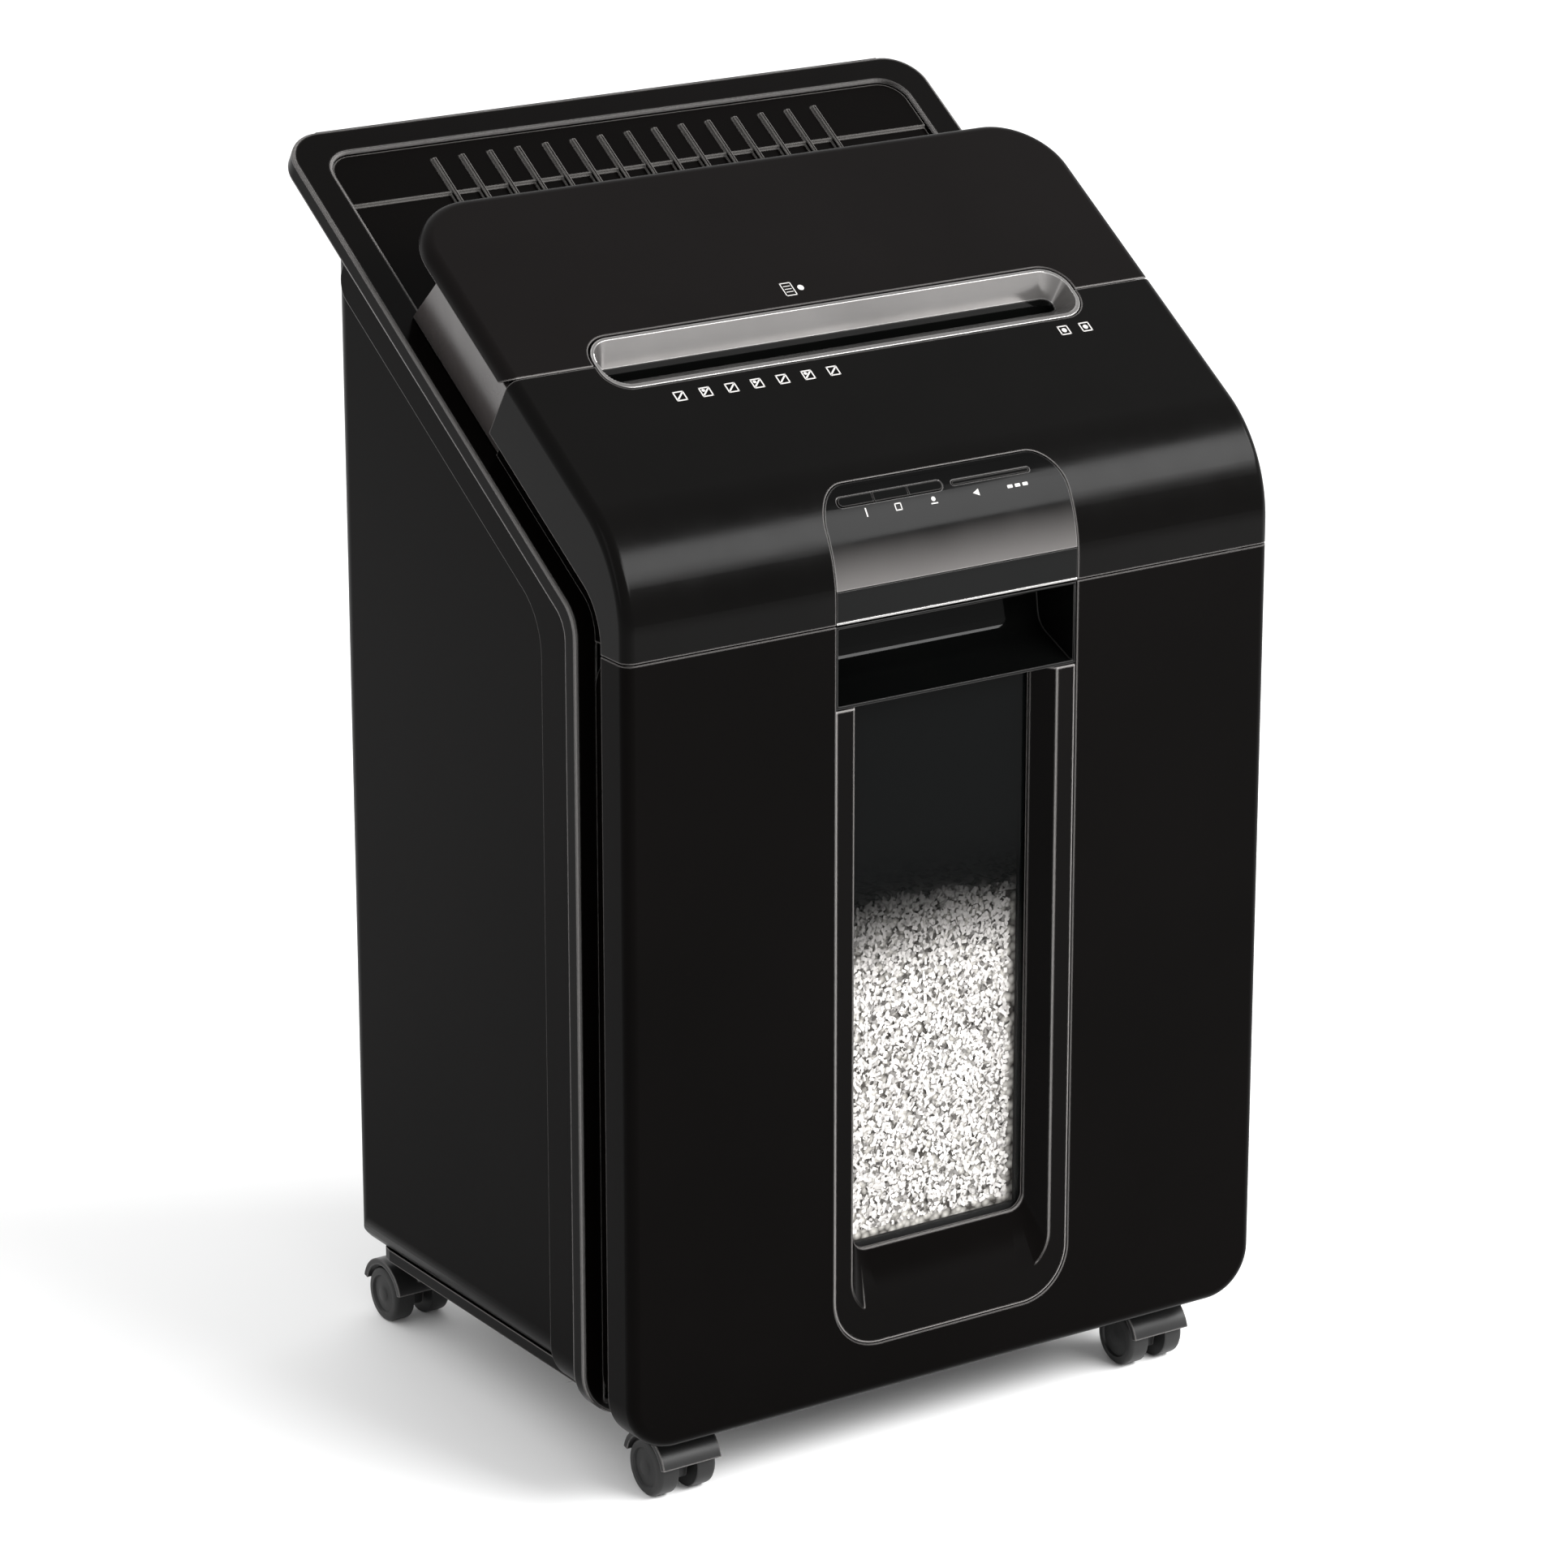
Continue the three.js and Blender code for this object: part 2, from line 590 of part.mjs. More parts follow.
// Frame of the buttons: y runs up the bend, z points out of the panel.
const BUTTON_ANGLE = THREE.MathUtils.degToRad(38.8);
const buttonRow = new THREE.Group();
const BEND_START = bendCorner(0, 0)[1] - BEND_RADIUS * Math.tan((Math.PI / 2 - SLOPE) / 2);
buttonRow.position.set(
  0,
  BEND_RADIUS * (1 - Math.cos(BUTTON_ANGLE)),
  BEND_START + BEND_RADIUS * Math.sin(BUTTON_ANGLE),
);
buttonRow.rotation.x = Math.PI / 2 - BUTTON_ANGLE;
buttonRow.updateMatrix();
shredder.add(buttonRow);

const PILL = [-51, 0.4]; // x range of the slot that holds the three buttons
const PILL_HALF = 2.3;
const STRIP = [5, 44]; // x range of the indicator strip
const STRIP_HALF = 1.1;

function controlPanel() {
  const skin = prism('x', casingStrip(0, 90, 90, HEAD_SEAM + GAP, 60), -100, 100);
  const hollow = prism('x', casingStrip(WALL, 100, 100, HEAD_SEAM - 10, 80), -120, 120);
  let panel = skin.subtract(hollow).intersect(prism('y', panelOutline(GAP), -5, 60));
  for (const [[x0, x1], half] of [[PILL, PILL_HALF], [STRIP, STRIP_HALF]]) {
    const hole = toGeometry(prism('z', rectangle(x0, x1, -half, half, half * 0.95, 3), -20, 10));
    panel = panel.subtract(toSolid(hole.applyMatrix4(buttonRow.matrix)));
  }
  add('control_panel', panel, gloss());
  const strip = prism(
    'z', rectangle(STRIP[0] + 0.5, STRIP[1] - 0.5, -STRIP_HALF + GAP, STRIP_HALF - GAP, 0.6, 3), -3, -0.2,
  );
  add('indicator_strip', strip, finish(0x303030, 0.2), buttonRow);
}

function buttons() {
  const names = ['button_reverse', 'button_power', 'button_forward'];
  const width = (PILL[1] - PILL[0] - 0.4) / names.length;
  names.forEach((name, index) => {
    const x0 = PILL[0] + 0.2 + index * width + 0.15;
    const half = PILL_HALF - 0.25;
    const left = index === 0 ? 1.9 : 0;
    const right = index === names.length - 1 ? 1.9 : 0;
    const outline = rectangle(x0, x0 + width - 0.3, -half, half, [left, right, right, left], 3);
    add(name, prism('z', outline, -5, 0.5), finish(0x0a0a0a, 0.15), buttonRow);
  });
}

function controlBoard() {
  let board = box(-56, 50, -20, 12, -9.6, -8);
  for (const x of [-42.5, -25.3, -8.1]) {
    board = board.add(box(x - 3, x + 3, -3, 3, -8.5, -6.2));
  }
  board = board.add(box(14, 38, -6, 4, -8.5, -6));
  add('control_board', board, finish(0x1f5a34, 0.5), buttonRow);
}

// ---------------------------------------------------------------- pull-out bin

function binFront() {
  const face = (inset, top, radius) => rectangle(
    -SHELL_HALF + inset, SHELL_HALF - inset, SHELL_BOTTOM + inset, top, [radius, radius, 0, 0], 6,
  );
  const top = HEAD_SEAM - GAP;
  const outer = prism('y', face(0, HEAD_SEAM + 60, CORNER_ROUND), 0, 80, EDGE_ROUND)
    .intersect(box(-200, 200, -1, SHELL_DEPTH, 0, top));
  const hollow = prism('y', face(WALL, top - WALL, CORNER_ROUND - WALL), WALL, SHELL_DEPTH - WALL);
  const ring = prism('y', rectangle(-152, 152, 41, 371, 16), SHELL_DEPTH - 2, RIM_FRONT - 0.4);
  const ringInside = prism('y', rectangle(-148, 148, 45, 367, 12), 10, RIM_FRONT - 3.4);
  const tubOpening = box(-TUB_HALF - 1, TUB_HALF + 1, 20, 60, TUB_BOTTOM - 1, TUB_TOP + 1.5);
  const channelView = rectangle(-CHANNEL_HALF, CHANNEL_HALF, CHANNEL_BOTTOM, 400, [23, 23, 0, 0], 6);
  const channel = prism('y', channelView, -5, SHELL_DEPTH - 3.4);
  const handleSpace = box(-CHANNEL_HALF, CHANNEL_HALF, -5, RIM_FRONT - 3.6, HANDLE_BOTTOM, 400);
  let front = outer.subtract(hollow).add(ring).subtract(ringInside).subtract(tubOpening);
  front = front.subtract(channel).subtract(handleSpace);
  add('bin_front', front, satin());
}

function windowFrame() {
  const half = CHANNEL_HALF - GAP;
  const view = rectangle(-half, half, CHANNEL_BOTTOM + GAP, HANDLE_BOTTOM - GAP, [22.7, 22.7, 0, 0], 6);
  const block = prism('y', view, 0.6, 12.5);
  const ring = (width, low, radius, y) => (
    rectangle(-width, width, low, HANDLE_BOTTOM + 20, [radius, radius, 0, 0], 5)
      .map((point) => new THREE.Vector3(point.x, y, point.y))
  );
  const funnel = loft(ring(WINDOW_HALF, WINDOW_BOTTOM, 7, 10.5), ring(51, 68, 17, 0), 'z');
  const pane = rectangle(-WINDOW_HALF, WINDOW_HALF, WINDOW_BOTTOM, HANDLE_BOTTOM + 20, [7, 7, 0, 0], 5);
  add('window_frame', block.subtract(funnel).subtract(prism('y', pane, 5, 20)), gloss());
}

function windowPane() {
  const smoked = finish(0x20242a, 0.05);
  smoked.transparent = true;
  smoked.opacity = 0.3;
  const view = rectangle(-WINDOW_HALF - 2.8, WINDOW_HALF + 2.8, WINDOW_BOTTOM - 3, HANDLE_BOTTOM - 0.6, 6, 2);
  add('window_pane', prism('y', view, 12.8, 14.2), smoked);
}

function binHandle() {
  const half = CHANNEL_HALF - GAP;
  const low = HANDLE_BOTTOM + GAP;
  const high = HEAD_SEAM - 0.7;
  const scoop = rounded([
    [-5, low + 5],
    [2, low + 5],
    [25, low + 13, 8],
    [27, high - 3.5, 4],
    [-5, high - 3.5],
  ], 4);
  const block = box(-half, half, 0.6, 31, low, high);
  add('bin_handle', block.subtract(prism('x', scoop, -half + 3.5, half - 3.5)), gloss());
}

function binTub() {
  const plan = (inset) => rectangle(
    -TUB_HALF + inset, TUB_HALF - inset, TUB_FRONT + inset, TUB_REAR - inset, 8 - inset, 3,
  );
  const outer = prism('z', plan(0), TUB_BOTTOM, TUB_TOP);
  const inner = prism('z', plan(TUB_WALL), TUB_BOTTOM + TUB_WALL, TUB_TOP + 10);
  const view = box(-42.5, 42.5, TUB_FRONT - 5, TUB_FRONT + 5, 97, TUB_TOP - 8);
  add('bin_tub', outer.subtract(inner).subtract(view), finish(0x202020, 0.5));
}

function shreddedPaper() {
  const half = TUB_HALF - TUB_WALL - 0.5;
  const low = TUB_BOTTOM + TUB_WALL + 0.4;
  const heap = rounded([
    [-half, low],
    [half, low],
    [half, 228],
    [60, 245, 60],
    [-50, 251, 60],
    [-half, 232],
  ], 4);
  const plan = rectangle(-half, half, TUB_FRONT + 2.5, TUB_REAR - 2.5, 6, 3);
  const paper = prism('y', heap, 0, 250).intersect(prism('z', plan, 0, 400));
  add('shredded_paper', paper, finish(0xe6e2da, 0.9));
}

// ---------------------------------------------------------------- drive and cutters

function polar([y, z], distance, angleDegrees) {
  const angle = THREE.MathUtils.degToRad(angleDegrees);
  return [y + distance * Math.cos(angle), z + distance * Math.sin(angle)];
}

function pitchRadius(teeth) {
  return (GEAR_MODULE * teeth) / 2;
}

// Directions, in degrees, from each gear to the next one of its train.
const TO_REDUCTION = 20;
const TO_PINION = -5;
const TO_FEED_IDLER = 100;
const TO_FEED_ROLLER = 60;

const REDUCTION = polar(CUTTER_REAR, pitchRadius(CUTTER_TEETH + REDUCTION_SMALL_TEETH), TO_REDUCTION);
const MOTOR = polar(REDUCTION, pitchRadius(REDUCTION_LARGE_TEETH + PINION_TEETH), TO_PINION);
const FEED_IDLER = polar(CUTTER_REAR, pitchRadius(CUTTER_TEETH + FEED_IDLER_TEETH), TO_FEED_IDLER);
const FEED_ROLLER = polar(FEED_IDLER, pitchRadius(FEED_IDLER_TEETH + FEED_ROLLER_TEETH), TO_FEED_ROLLER);

// Angle of one tooth of a gear that meshes with a gear of known tooth angle.
function meshAngle(angle, teeth, direction, nextTeeth) {
  const towards = THREE.MathUtils.degToRad(direction);
  const part = ((towards - angle) * teeth) / (2 * Math.PI);
  return towards + Math.PI - ((0.5 - part) * 2 * Math.PI) / nextTeeth;
}

const REAR_ANGLE = 0;
const FRONT_ANGLE = meshAngle(REAR_ANGLE, CUTTER_TEETH, 180, CUTTER_TEETH);
const SMALL_ANGLE = meshAngle(REAR_ANGLE, CUTTER_TEETH, TO_REDUCTION, REDUCTION_SMALL_TEETH);
const PINION_ANGLE = meshAngle(0, REDUCTION_LARGE_TEETH, TO_PINION, PINION_TEETH);
const IDLER_ANGLE = meshAngle(REAR_ANGLE, CUTTER_TEETH, TO_FEED_IDLER, FEED_IDLER_TEETH);
const ROLLER_ANGLE = meshAngle(IDLER_ANGLE, FEED_IDLER_TEETH, TO_FEED_ROLLER, FEED_ROLLER_TEETH);

function gear([y, z], teeth, angle, plane, bore) {
  const pitch = (2 * Math.PI) / teeth;
  const root = pitchRadius(teeth) - 1.15 * GEAR_MODULE;
  const tip = pitchRadius(teeth) + 0.85 * GEAR_MODULE;
  const flank = [[root, -0.3], [tip, -0.12], [tip, 0.12], [root, 0.3]];
  const outline = [];
  for (let tooth = 0; tooth < teeth; tooth += 1) {
    for (const [radius, offset] of flank) {
      const turn = angle + (tooth + offset) * pitch;
      outline.push(new THREE.Vector2(y + radius * Math.cos(turn), z + radius * Math.sin(turn)));
    }
  }
  const solid = prism('x', outline, ...plane);
  return bore > 0 ? solid.subtract(rod(100, 150, [y, z], bore)) : solid;
}

// Cutter shaft with discs; the discs of one shaft run in the grooves of the other.
function cutter(name, axis, discCount) {
  const profile = [[0, -126], [JOURNAL, -126], [JOURNAL, -112], [CUTTER_CORE, -112]];
  for (let disc = 0; disc < discCount; disc += 1) {
    const x = (disc - (discCount - 1) / 2) * DISC_PITCH;
    const half = DISC_WIDTH / 2;
    profile.push([CUTTER_CORE, x - half], [CUTTER_RADIUS, x - half]);
    profile.push([CUTTER_RADIUS, x + half], [CUTTER_CORE, x + half]);
  }
  profile.push([CUTTER_CORE, 112], [JOURNAL, 112], [JOURNAL, 131], [0, 131]);
  add(name, turned(profile, axis, 10), steel());
}

function cutters() {
  cutter('cutter_front', CUTTER_FRONT, FRONT_DISCS);
  cutter('cutter_rear', CUTTER_REAR, FRONT_DISCS - 1);
  const frontGear = gear(CUTTER_FRONT, CUTTER_TEETH, FRONT_ANGLE, GEAR_PLANE, JOURNAL + GAP);
  const rearGear = gear(CUTTER_REAR, CUTTER_TEETH, REAR_ANGLE, GEAR_PLANE, JOURNAL + GAP);
  add('cutter_gear_front', frontGear, steel());
  add('cutter_gear_rear', rearGear, steel());
}

// Combs with one finger in each groove keep the shreds off the shafts.
function stripperComb(name, bar, fingers, fingerCount) {
  let comb = box(-113.8, 113.8, ...bar, 371, 384);
  for (let finger = 0; finger < fingerCount; finger += 1) {
    const x = (finger - (fingerCount - 1) / 2) * DISC_PITCH;
    comb = comb.add(box(x - 3.5, x + 3.5, ...fingers, 373, 382));
  }
  add(name, comb, satin());
}

function stripperCombs() {
  const reach = CUTTER_CORE + 0.8;
  stripperComb('stripper_comb_front', [56, 60.5], [60, CUTTER_FRONT[0] - reach], FRONT_DISCS - 1);
  stripperComb('stripper_comb_rear', [131.5, 136], [CUTTER_REAR[0] + reach, 132], FRONT_DISCS);
}

const STUD_RADIUS = 3;

function sidePlates() {
  for (const [name, side] of SIDES) {
    const [x0, x1] = span(side, ...SIDE_PLATE);
    const outline = rounded([
      [56, CHASSIS[1] + GAP],
      [156, CHASSIS[1] + GAP],
      [156, 434, 8],
      [104, 434, 8],
      [68, 396, 8],
      [56, 380, 4],
    ], 3);
    let plate = prism('x', outline, x0, x1);
    for (const axis of [CUTTER_FRONT, CUTTER_REAR]) {
      plate = plate.subtract(rod(x0 - 5, x1 + 5, axis, 9.3));
    }
    plate = plate.subtract(rod(x0 - 5, x1 + 5, FEED_ROLLER, 4.3));
    if (side > 0) {
      plate = plate.add(rod(x1 - 1, GEAR_PLANE[1], FEED_IDLER, STUD_RADIUS));
      plate = plate.add(rod(x1 - 1, OUTER_GEAR_PLANE[1] + 1, REDUCTION, STUD_RADIUS));
    }
    add(`side_plate_${name}`, plate, steel());
  }
}

// Bearing plates on the inner faces of the side plates; their bosses hold both cutter shafts.
function bearingPlates() {
  const [front, z] = CUTTER_FRONT;
  const rear = CUTTER_REAR[0];
  const outline = rectangle(front - 14, rear + 14, z - 14, z + 14, 12);
  for (const [name, side] of SIDES) {
    let plate = prism('x', outline, ...span(side, 114.3, 117.7));
    for (const axis of [CUTTER_FRONT, CUTTER_REAR]) {
      plate = plate.add(rod(...span(side, 117, 121.6), axis, 9));
      plate = plate.subtract(rod(...span(side, 110, 130), axis, JOURNAL + GAP));
    }
    add(`bearing_plate_${name}`, plate, finish(0xb08d4a, 0.4, 1));
  }
}

function tieRod() {
  add('tie_rod', rod(-117.6, 117.6, [147, 353], 4, 8), steel());
}

function reductionGear() {
  const small = gear(REDUCTION, REDUCTION_SMALL_TEETH, SMALL_ANGLE, GEAR_PLANE, 0);
  const large = gear(REDUCTION, REDUCTION_LARGE_TEETH, 0, OUTER_GEAR_PLANE, 0);
  const hub = rod(GEAR_PLANE[1] - 1, OUTER_GEAR_PLANE[0] + 1, REDUCTION, 8);
  const bore = rod(110, 150, REDUCTION, STUD_RADIUS + GAP);
  add('reduction_gear', small.add(large).add(hub).subtract(bore), gearPlastic());
}

function motor() {
  const can = turned([
    [4, 0], [14, 0], [14, 4], [30, 4], [32, 8], [32, 88], [30, 92], [14, 92], [14, 96], [4, 96], [4, 0],
  ], MOTOR, 20);
  add('motor_can', can, finish(0x55585c, 0.4, 1));
  const foot = CHASSIS[1] + GAP;
  const [low, high] = [MOTOR[0] - 27, MOTOR[0] + 27];
  const plate = prism('x', rectangle(low, high, foot, 405, [0, 0, 10, 10], 2), 96.4, 99.4);
  const shelf = box(96.4, 114, low, high, foot, foot + 3);
  add('motor_bracket', plate.add(shelf).subtract(rod(90, 105, MOTOR, 8)), steel());
  const shaft = rod(-22, 139.5, MOTOR, 3.6, 10);
  const pinion = gear(MOTOR, PINION_TEETH, PINION_ANGLE, [131.5, 139], 0);
  add('motor_shaft', shaft.add(pinion), steel());
  let fan = rod(-18, -6, MOTOR, 8).add(rod(-8, -6, MOTOR, 26, 20));
  for (let blade = 0; blade < 8; blade += 1) {
    const turn = (blade * Math.PI) / 4;
    const outline = rectangle(6, 25, -0.8, 0.8).map((point) => (
      point.rotateAround(new THREE.Vector2(), turn).add(new THREE.Vector2(...MOTOR))
    ));
    fan = fan.add(prism('x', outline, -18, -7));
  }
  add('cooling_fan', fan.subtract(rod(-30, 0, MOTOR, 3.9)), finish(0x2b2b2b, 0.5));
}

function feedRollers() {
  const idler = gear(FEED_IDLER, FEED_IDLER_TEETH, IDLER_ANGLE, GEAR_PLANE, STUD_RADIUS + GAP);
  add('feed_idler_gear', idler, gearPlastic());
  let shaft = turned([
    [0, -124], [4, -124], [4, -62], [11.5, -62], [11.5, -28], [4, -28],
    [4, 28], [11.5, 28], [11.5, 62], [4, 62], [4, 131], [0, 131],
  ], FEED_ROLLER, 12);
  shaft = shaft.add(gear(FEED_ROLLER, FEED_ROLLER_TEETH, ROLLER_ANGLE, GEAR_PLANE, 0));
  add('feed_roller', shaft, gearPlastic());
  for (const [name, side] of SIDES) {
    const [x0, x1] = span(side, 29, 61);
    const tyre = rod(x0, x1, FEED_ROLLER, 15, 20).subtract(rod(x0 - 1, x1 + 1, FEED_ROLLER, 11.8));
    add(`feed_tyre_${name}`, tyre, finish(0x303030, 0.9));
  }
}

function chassisPlate() {
  const plate = prism('z', rectangle(-142.6, 142.6, 67, 246, [0, 0, 10, 10]), ...CHASSIS)
    .add(box(-138, 138, 46, 68, ...CHASSIS));
  const outlet = box(-108, 108, 64, 128, 300, 400);
  add('chassis_plate', plate.subtract(outlet), finish(0x202020, 0.5));
}

function interlock() {
  const [x, z] = [128, 353];
  let body = box(x - 7, x + 7, 47, 62, CHASSIS[1] + GAP, CHASSIS[1] + 16);
  body = body.subtract(prism('y', circle(x, z, 2.5, 10), 40, 58));
  add('interlock_switch', body, finish(0x151515, 0.4));
  add('interlock_plunger', prism('y', circle(x, z, 2.1, 10), RIM_FRONT, 54), finish(0xa02020, 0.4));
}

// ---------------------------------------------------------------- casters

function caster(name, x, pivot, direction) {
  const axle = pivot + direction * CASTER_TRAIL;
  const at = (offset, z) => [pivot + direction * offset, z];
  const web = prism('x', rounded([
    at(-9, 31),
    at(20, 29),
    at(CASTER_TRAIL + 6.5, 12.5),
    [...at(CASTER_TRAIL + 5, 6), 2],
    [...at(CASTER_TRAIL - 5, 6), 2],
    at(CASTER_TRAIL - 7, 14),
  ], 2), x - 3.5, x + 3.5);
  const arc = (radius) => {
    const steps = 6;
    const points = [];
    for (let step = 0; step <= steps; step += 1) {
      const angle = Math.PI * (0.08 + (0.84 * step) / steps);
      const point = new THREE.Vector2(radius * Math.cos(angle), radius * Math.sin(angle));
      points.push(point.add(new THREE.Vector2(axle, WHEEL_RADIUS)));
    }
    return points;
  };
  const hood = prism('x', [...arc(16.5), ...arc(13.7).reverse()], x - 14.3, x + 14.3);
  const flange = prism('z', circle(x, pivot, 11, 12), 29.5, BASE[0] - GAP);
  const pin = prism('z', circle(x, pivot, 5, 8), 29, BASE[1] - 0.7);
  const body = web.add(hood).add(flange).add(pin).subtract(rod(x - 20, x + 20, [axle, WHEEL_RADIUS], 3));
  add(`caster_body_${name}`, body, finish(0x141414, 0.5));
  const half = [
    [0, x - 14],
    [10.5, x - 14],
    [WHEEL_RADIUS, x - 12.5],
    [WHEEL_RADIUS, x - 4.6],
    [2.4, x - 4.6],
  ];
  const other = half.map(([radius, along]) => [radius, 2 * x - along]).reverse();
  const wheels = turned([...half, ...other], [axle, WHEEL_RADIUS], 16);
  add(`caster_wheels_${name}`, wheels, finish(0x1a1a1a, 0.6));
}

function casters() {
  for (const [name, side] of SIDES) {
    caster(`front_${name}`, side * CASTER_X, CASTER_FRONT, -1);
    caster(`rear_${name}`, side * CASTER_X, CASTER_REAR, 1);
  }
}

// ---------------------------------------------------------------- assembly

topCasing();
headCollar();
bodyFrame();
trayFloor();
trayCheeks();
cabinetShell();
rearPanel();
powerInlet();
powerRocker();
basePlate();
lid();
lidLiner();
hingeArms();
pressurePlate();
throatBezel();
controlPanel();
buttons();
controlBoard();
binFront();
windowFrame();
windowPane();
binHandle();
binTub();
shreddedPaper();
cutters();
stripperCombs();
sidePlates();
bearingPlates();
tieRod();
reductionGear();
motor();
feedRollers();
chassisPlate();
interlock();
casters();

const depth = onSlope(TRAY_END, -RIM_DROP - RIM_THICK)[0];
shredder.position.y = -depth / 2;

export default shredder;
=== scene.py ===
"""Looks of a free-standing paper shredder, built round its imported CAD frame.

Shapes are made in millimetres with y = 0 on the front face, and moved into the row frame, in
metres, when a piece is finished. Pieces on the sloping top use slope coordinates: x across,
s up the slope from the seam of the lid, and n square to the lid's outer face.
"""

import math
import random

import bmesh
import bpy
from mathutils import Matrix, Vector, noise


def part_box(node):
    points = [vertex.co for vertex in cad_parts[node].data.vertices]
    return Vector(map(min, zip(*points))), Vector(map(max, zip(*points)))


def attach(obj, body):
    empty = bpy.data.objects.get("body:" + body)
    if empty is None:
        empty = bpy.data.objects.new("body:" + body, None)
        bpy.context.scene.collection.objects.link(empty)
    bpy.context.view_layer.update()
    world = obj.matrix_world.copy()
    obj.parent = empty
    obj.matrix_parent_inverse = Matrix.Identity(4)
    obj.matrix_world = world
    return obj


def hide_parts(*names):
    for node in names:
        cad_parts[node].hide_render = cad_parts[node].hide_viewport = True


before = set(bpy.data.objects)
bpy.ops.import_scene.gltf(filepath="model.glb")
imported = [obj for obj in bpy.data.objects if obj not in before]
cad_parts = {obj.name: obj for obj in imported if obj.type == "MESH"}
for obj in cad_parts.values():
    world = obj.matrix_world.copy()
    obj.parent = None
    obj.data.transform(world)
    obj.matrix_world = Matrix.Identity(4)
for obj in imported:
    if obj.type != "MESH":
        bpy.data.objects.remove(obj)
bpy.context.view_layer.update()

MM = 0.001
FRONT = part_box("bin_front")[0].y / MM  # y of the front face in the row frame

# ---------------------------------------------------------------- dimensions

# As in the CAD part, but for BAND_DEPTH and CABINET_BOTTOM: the cabinet's raised band reaches a
# little further back here, and the cabinet a little further down.

GAP = 0.3
WALL = 3
SHELL_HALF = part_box("top_casing")[1].x / MM
SHELL_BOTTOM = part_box("bin_front")[0].z / MM
SHELL_DEPTH = 18.5
EDGE_ROUND = 5
CORNER_ROUND = 22
HEAD_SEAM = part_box("top_casing")[0].z / MM - GAP
SLOPE = math.radians(33)
LID_SEAM = (86, 471.6)
BEND_RADIUS = 60
LID_LENGTH = 101.4
LID_CORNER = 30
LID_THICK = 7
COLLAR_DROP = 30
COLLAR_BEND = 28
RIM_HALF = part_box("body_frame")[1].x / MM
RIM_FRONT = 36
RIM_THICK = 8.5
RIM_DROP = 45
RIM_BEND = 18
RIM_WIDTH = 15
TRAY_END = 190
FLOOR_STEP = 147
RIB_COUNT = 15
RIB_PITCH = 13.8
CABINET_HALF = 146
BAND_HALF = 154
BAND_DEPTH = 74
CABINET_BOTTOM = 36.5
CABINET_TOP = 500
REAR_LOW = 250
REAR_HIGH = 256
SLOT_HALF_LENGTH = 119
SLOT_HALF_WIDTH = 14.5
THROAT_HALF_LENGTH = 112
THROAT = (90.2, 96.2)
THROAT_BOTTOM = 438
CHANNEL_HALF = 60
CHANNEL_BOTTOM = 56
PANEL_TOP = 427
WINDOW_HALF = 43.7
WINDOW_BOTTOM = 95.4
HANDLE_BOTTOM = 338
TUB_HALF = 124
TUB_BOTTOM = 49
TUB_TOP = 330
LID_PIVOT = (-12, -7)
LID_PIN_RADIUS = 2.2
PILL = (-51, 0.4)
PILL_HALF = 2.3
STRIP = (5, 44)
STRIP_HALF = 1.1
CASTER_TRAIL = 15
WHEEL_RADIUS = 12.5

COS, SIN = math.cos(SLOPE), math.sin(SLOPE)
SIDES = (("left", -1), ("right", 1))

# ---------------------------------------------------------------- outlines


def on_slope(s, n):
    """Point (y, z) at slope coordinates s, n."""
    return (LID_SEAM[0] + s * COS - n * SIN, LID_SEAM[1] + s * SIN + n * COS)


def bend_corner(y, n):
    """Point (y, z) where the upright plane y meets the slope plane n."""
    return on_slope((y - LID_SEAM[0] + n * SIN) / COS, n)


def rounded(corners, steps=8):
    """Outline through corners (a, b) or (a, b, radius), with each radius as an arc."""
    points = []
    for index, corner in enumerate(corners):
        here = Vector(corner[:2])
        radius = corner[2] if len(corner) > 2 else 0
        if radius == 0:
            points.append(here)
            continue
        back = (Vector(corners[index - 1][:2]) - here).normalized()
        ahead = (Vector(corners[(index + 1) % len(corners)][:2]) - here).normalized()
        half = math.acos(max(-1, min(1, back.dot(ahead)))) / 2
        centre = here + (back + ahead).normalized() * (radius / math.sin(half))
        start = here + back * (radius / math.tan(half)) - centre
        end = here + ahead * (radius / math.tan(half)) - centre
        sweep = math.atan2(start.x * end.y - start.y * end.x, start.dot(end))
        for step in range(steps + 1):
            points.append(centre + Matrix.Rotation(sweep * step / steps, 2) @ start)
    return points


def rectangle(a0, a1, b0, b1, radius=0, steps=8):
    r00, r10, r11, r01 = radius if isinstance(radius, (tuple, list)) else [radius] * 4
    return rounded([(a0, b0, r00), (a1, b0, r10), (a1, b1, r11), (a0, b1, r01)], steps)


def circle(a, b, radius, sides=32):
    turns = [2 * math.pi * side / sides for side in range(sides)]
    return [Vector((a + radius * math.cos(t), b + radius * math.sin(t))) for t in turns]


def inset(outline, distance):
    """The outline moved inwards, corner by corner."""
    area = sum(p.x * q.y - p.y * q.x for p, q in zip(outline, outline[1:] + outline[:1]))
    side = 1 if area > 0 else -1
    points = []
    for index, here in enumerate(outline):
        before = (here - outline[index - 1]).normalized()
        after = (outline[(index + 1) % len(outline)] - here).normalized()
        a = Vector((-before.y, before.x)) * side
        b = Vector((-after.y, after.x)) * side
        points.append(here + (a + b) * (distance / (1 + a.dot(b))))
    return points


# ---------------------------------------------------------------- solids

PLACE = {
    "x": lambda a, b, along: (along, a, b),
    "y": lambda a, b, along: (a, along, b),
    "z": lambda a, b, along: (a, b, along),
}


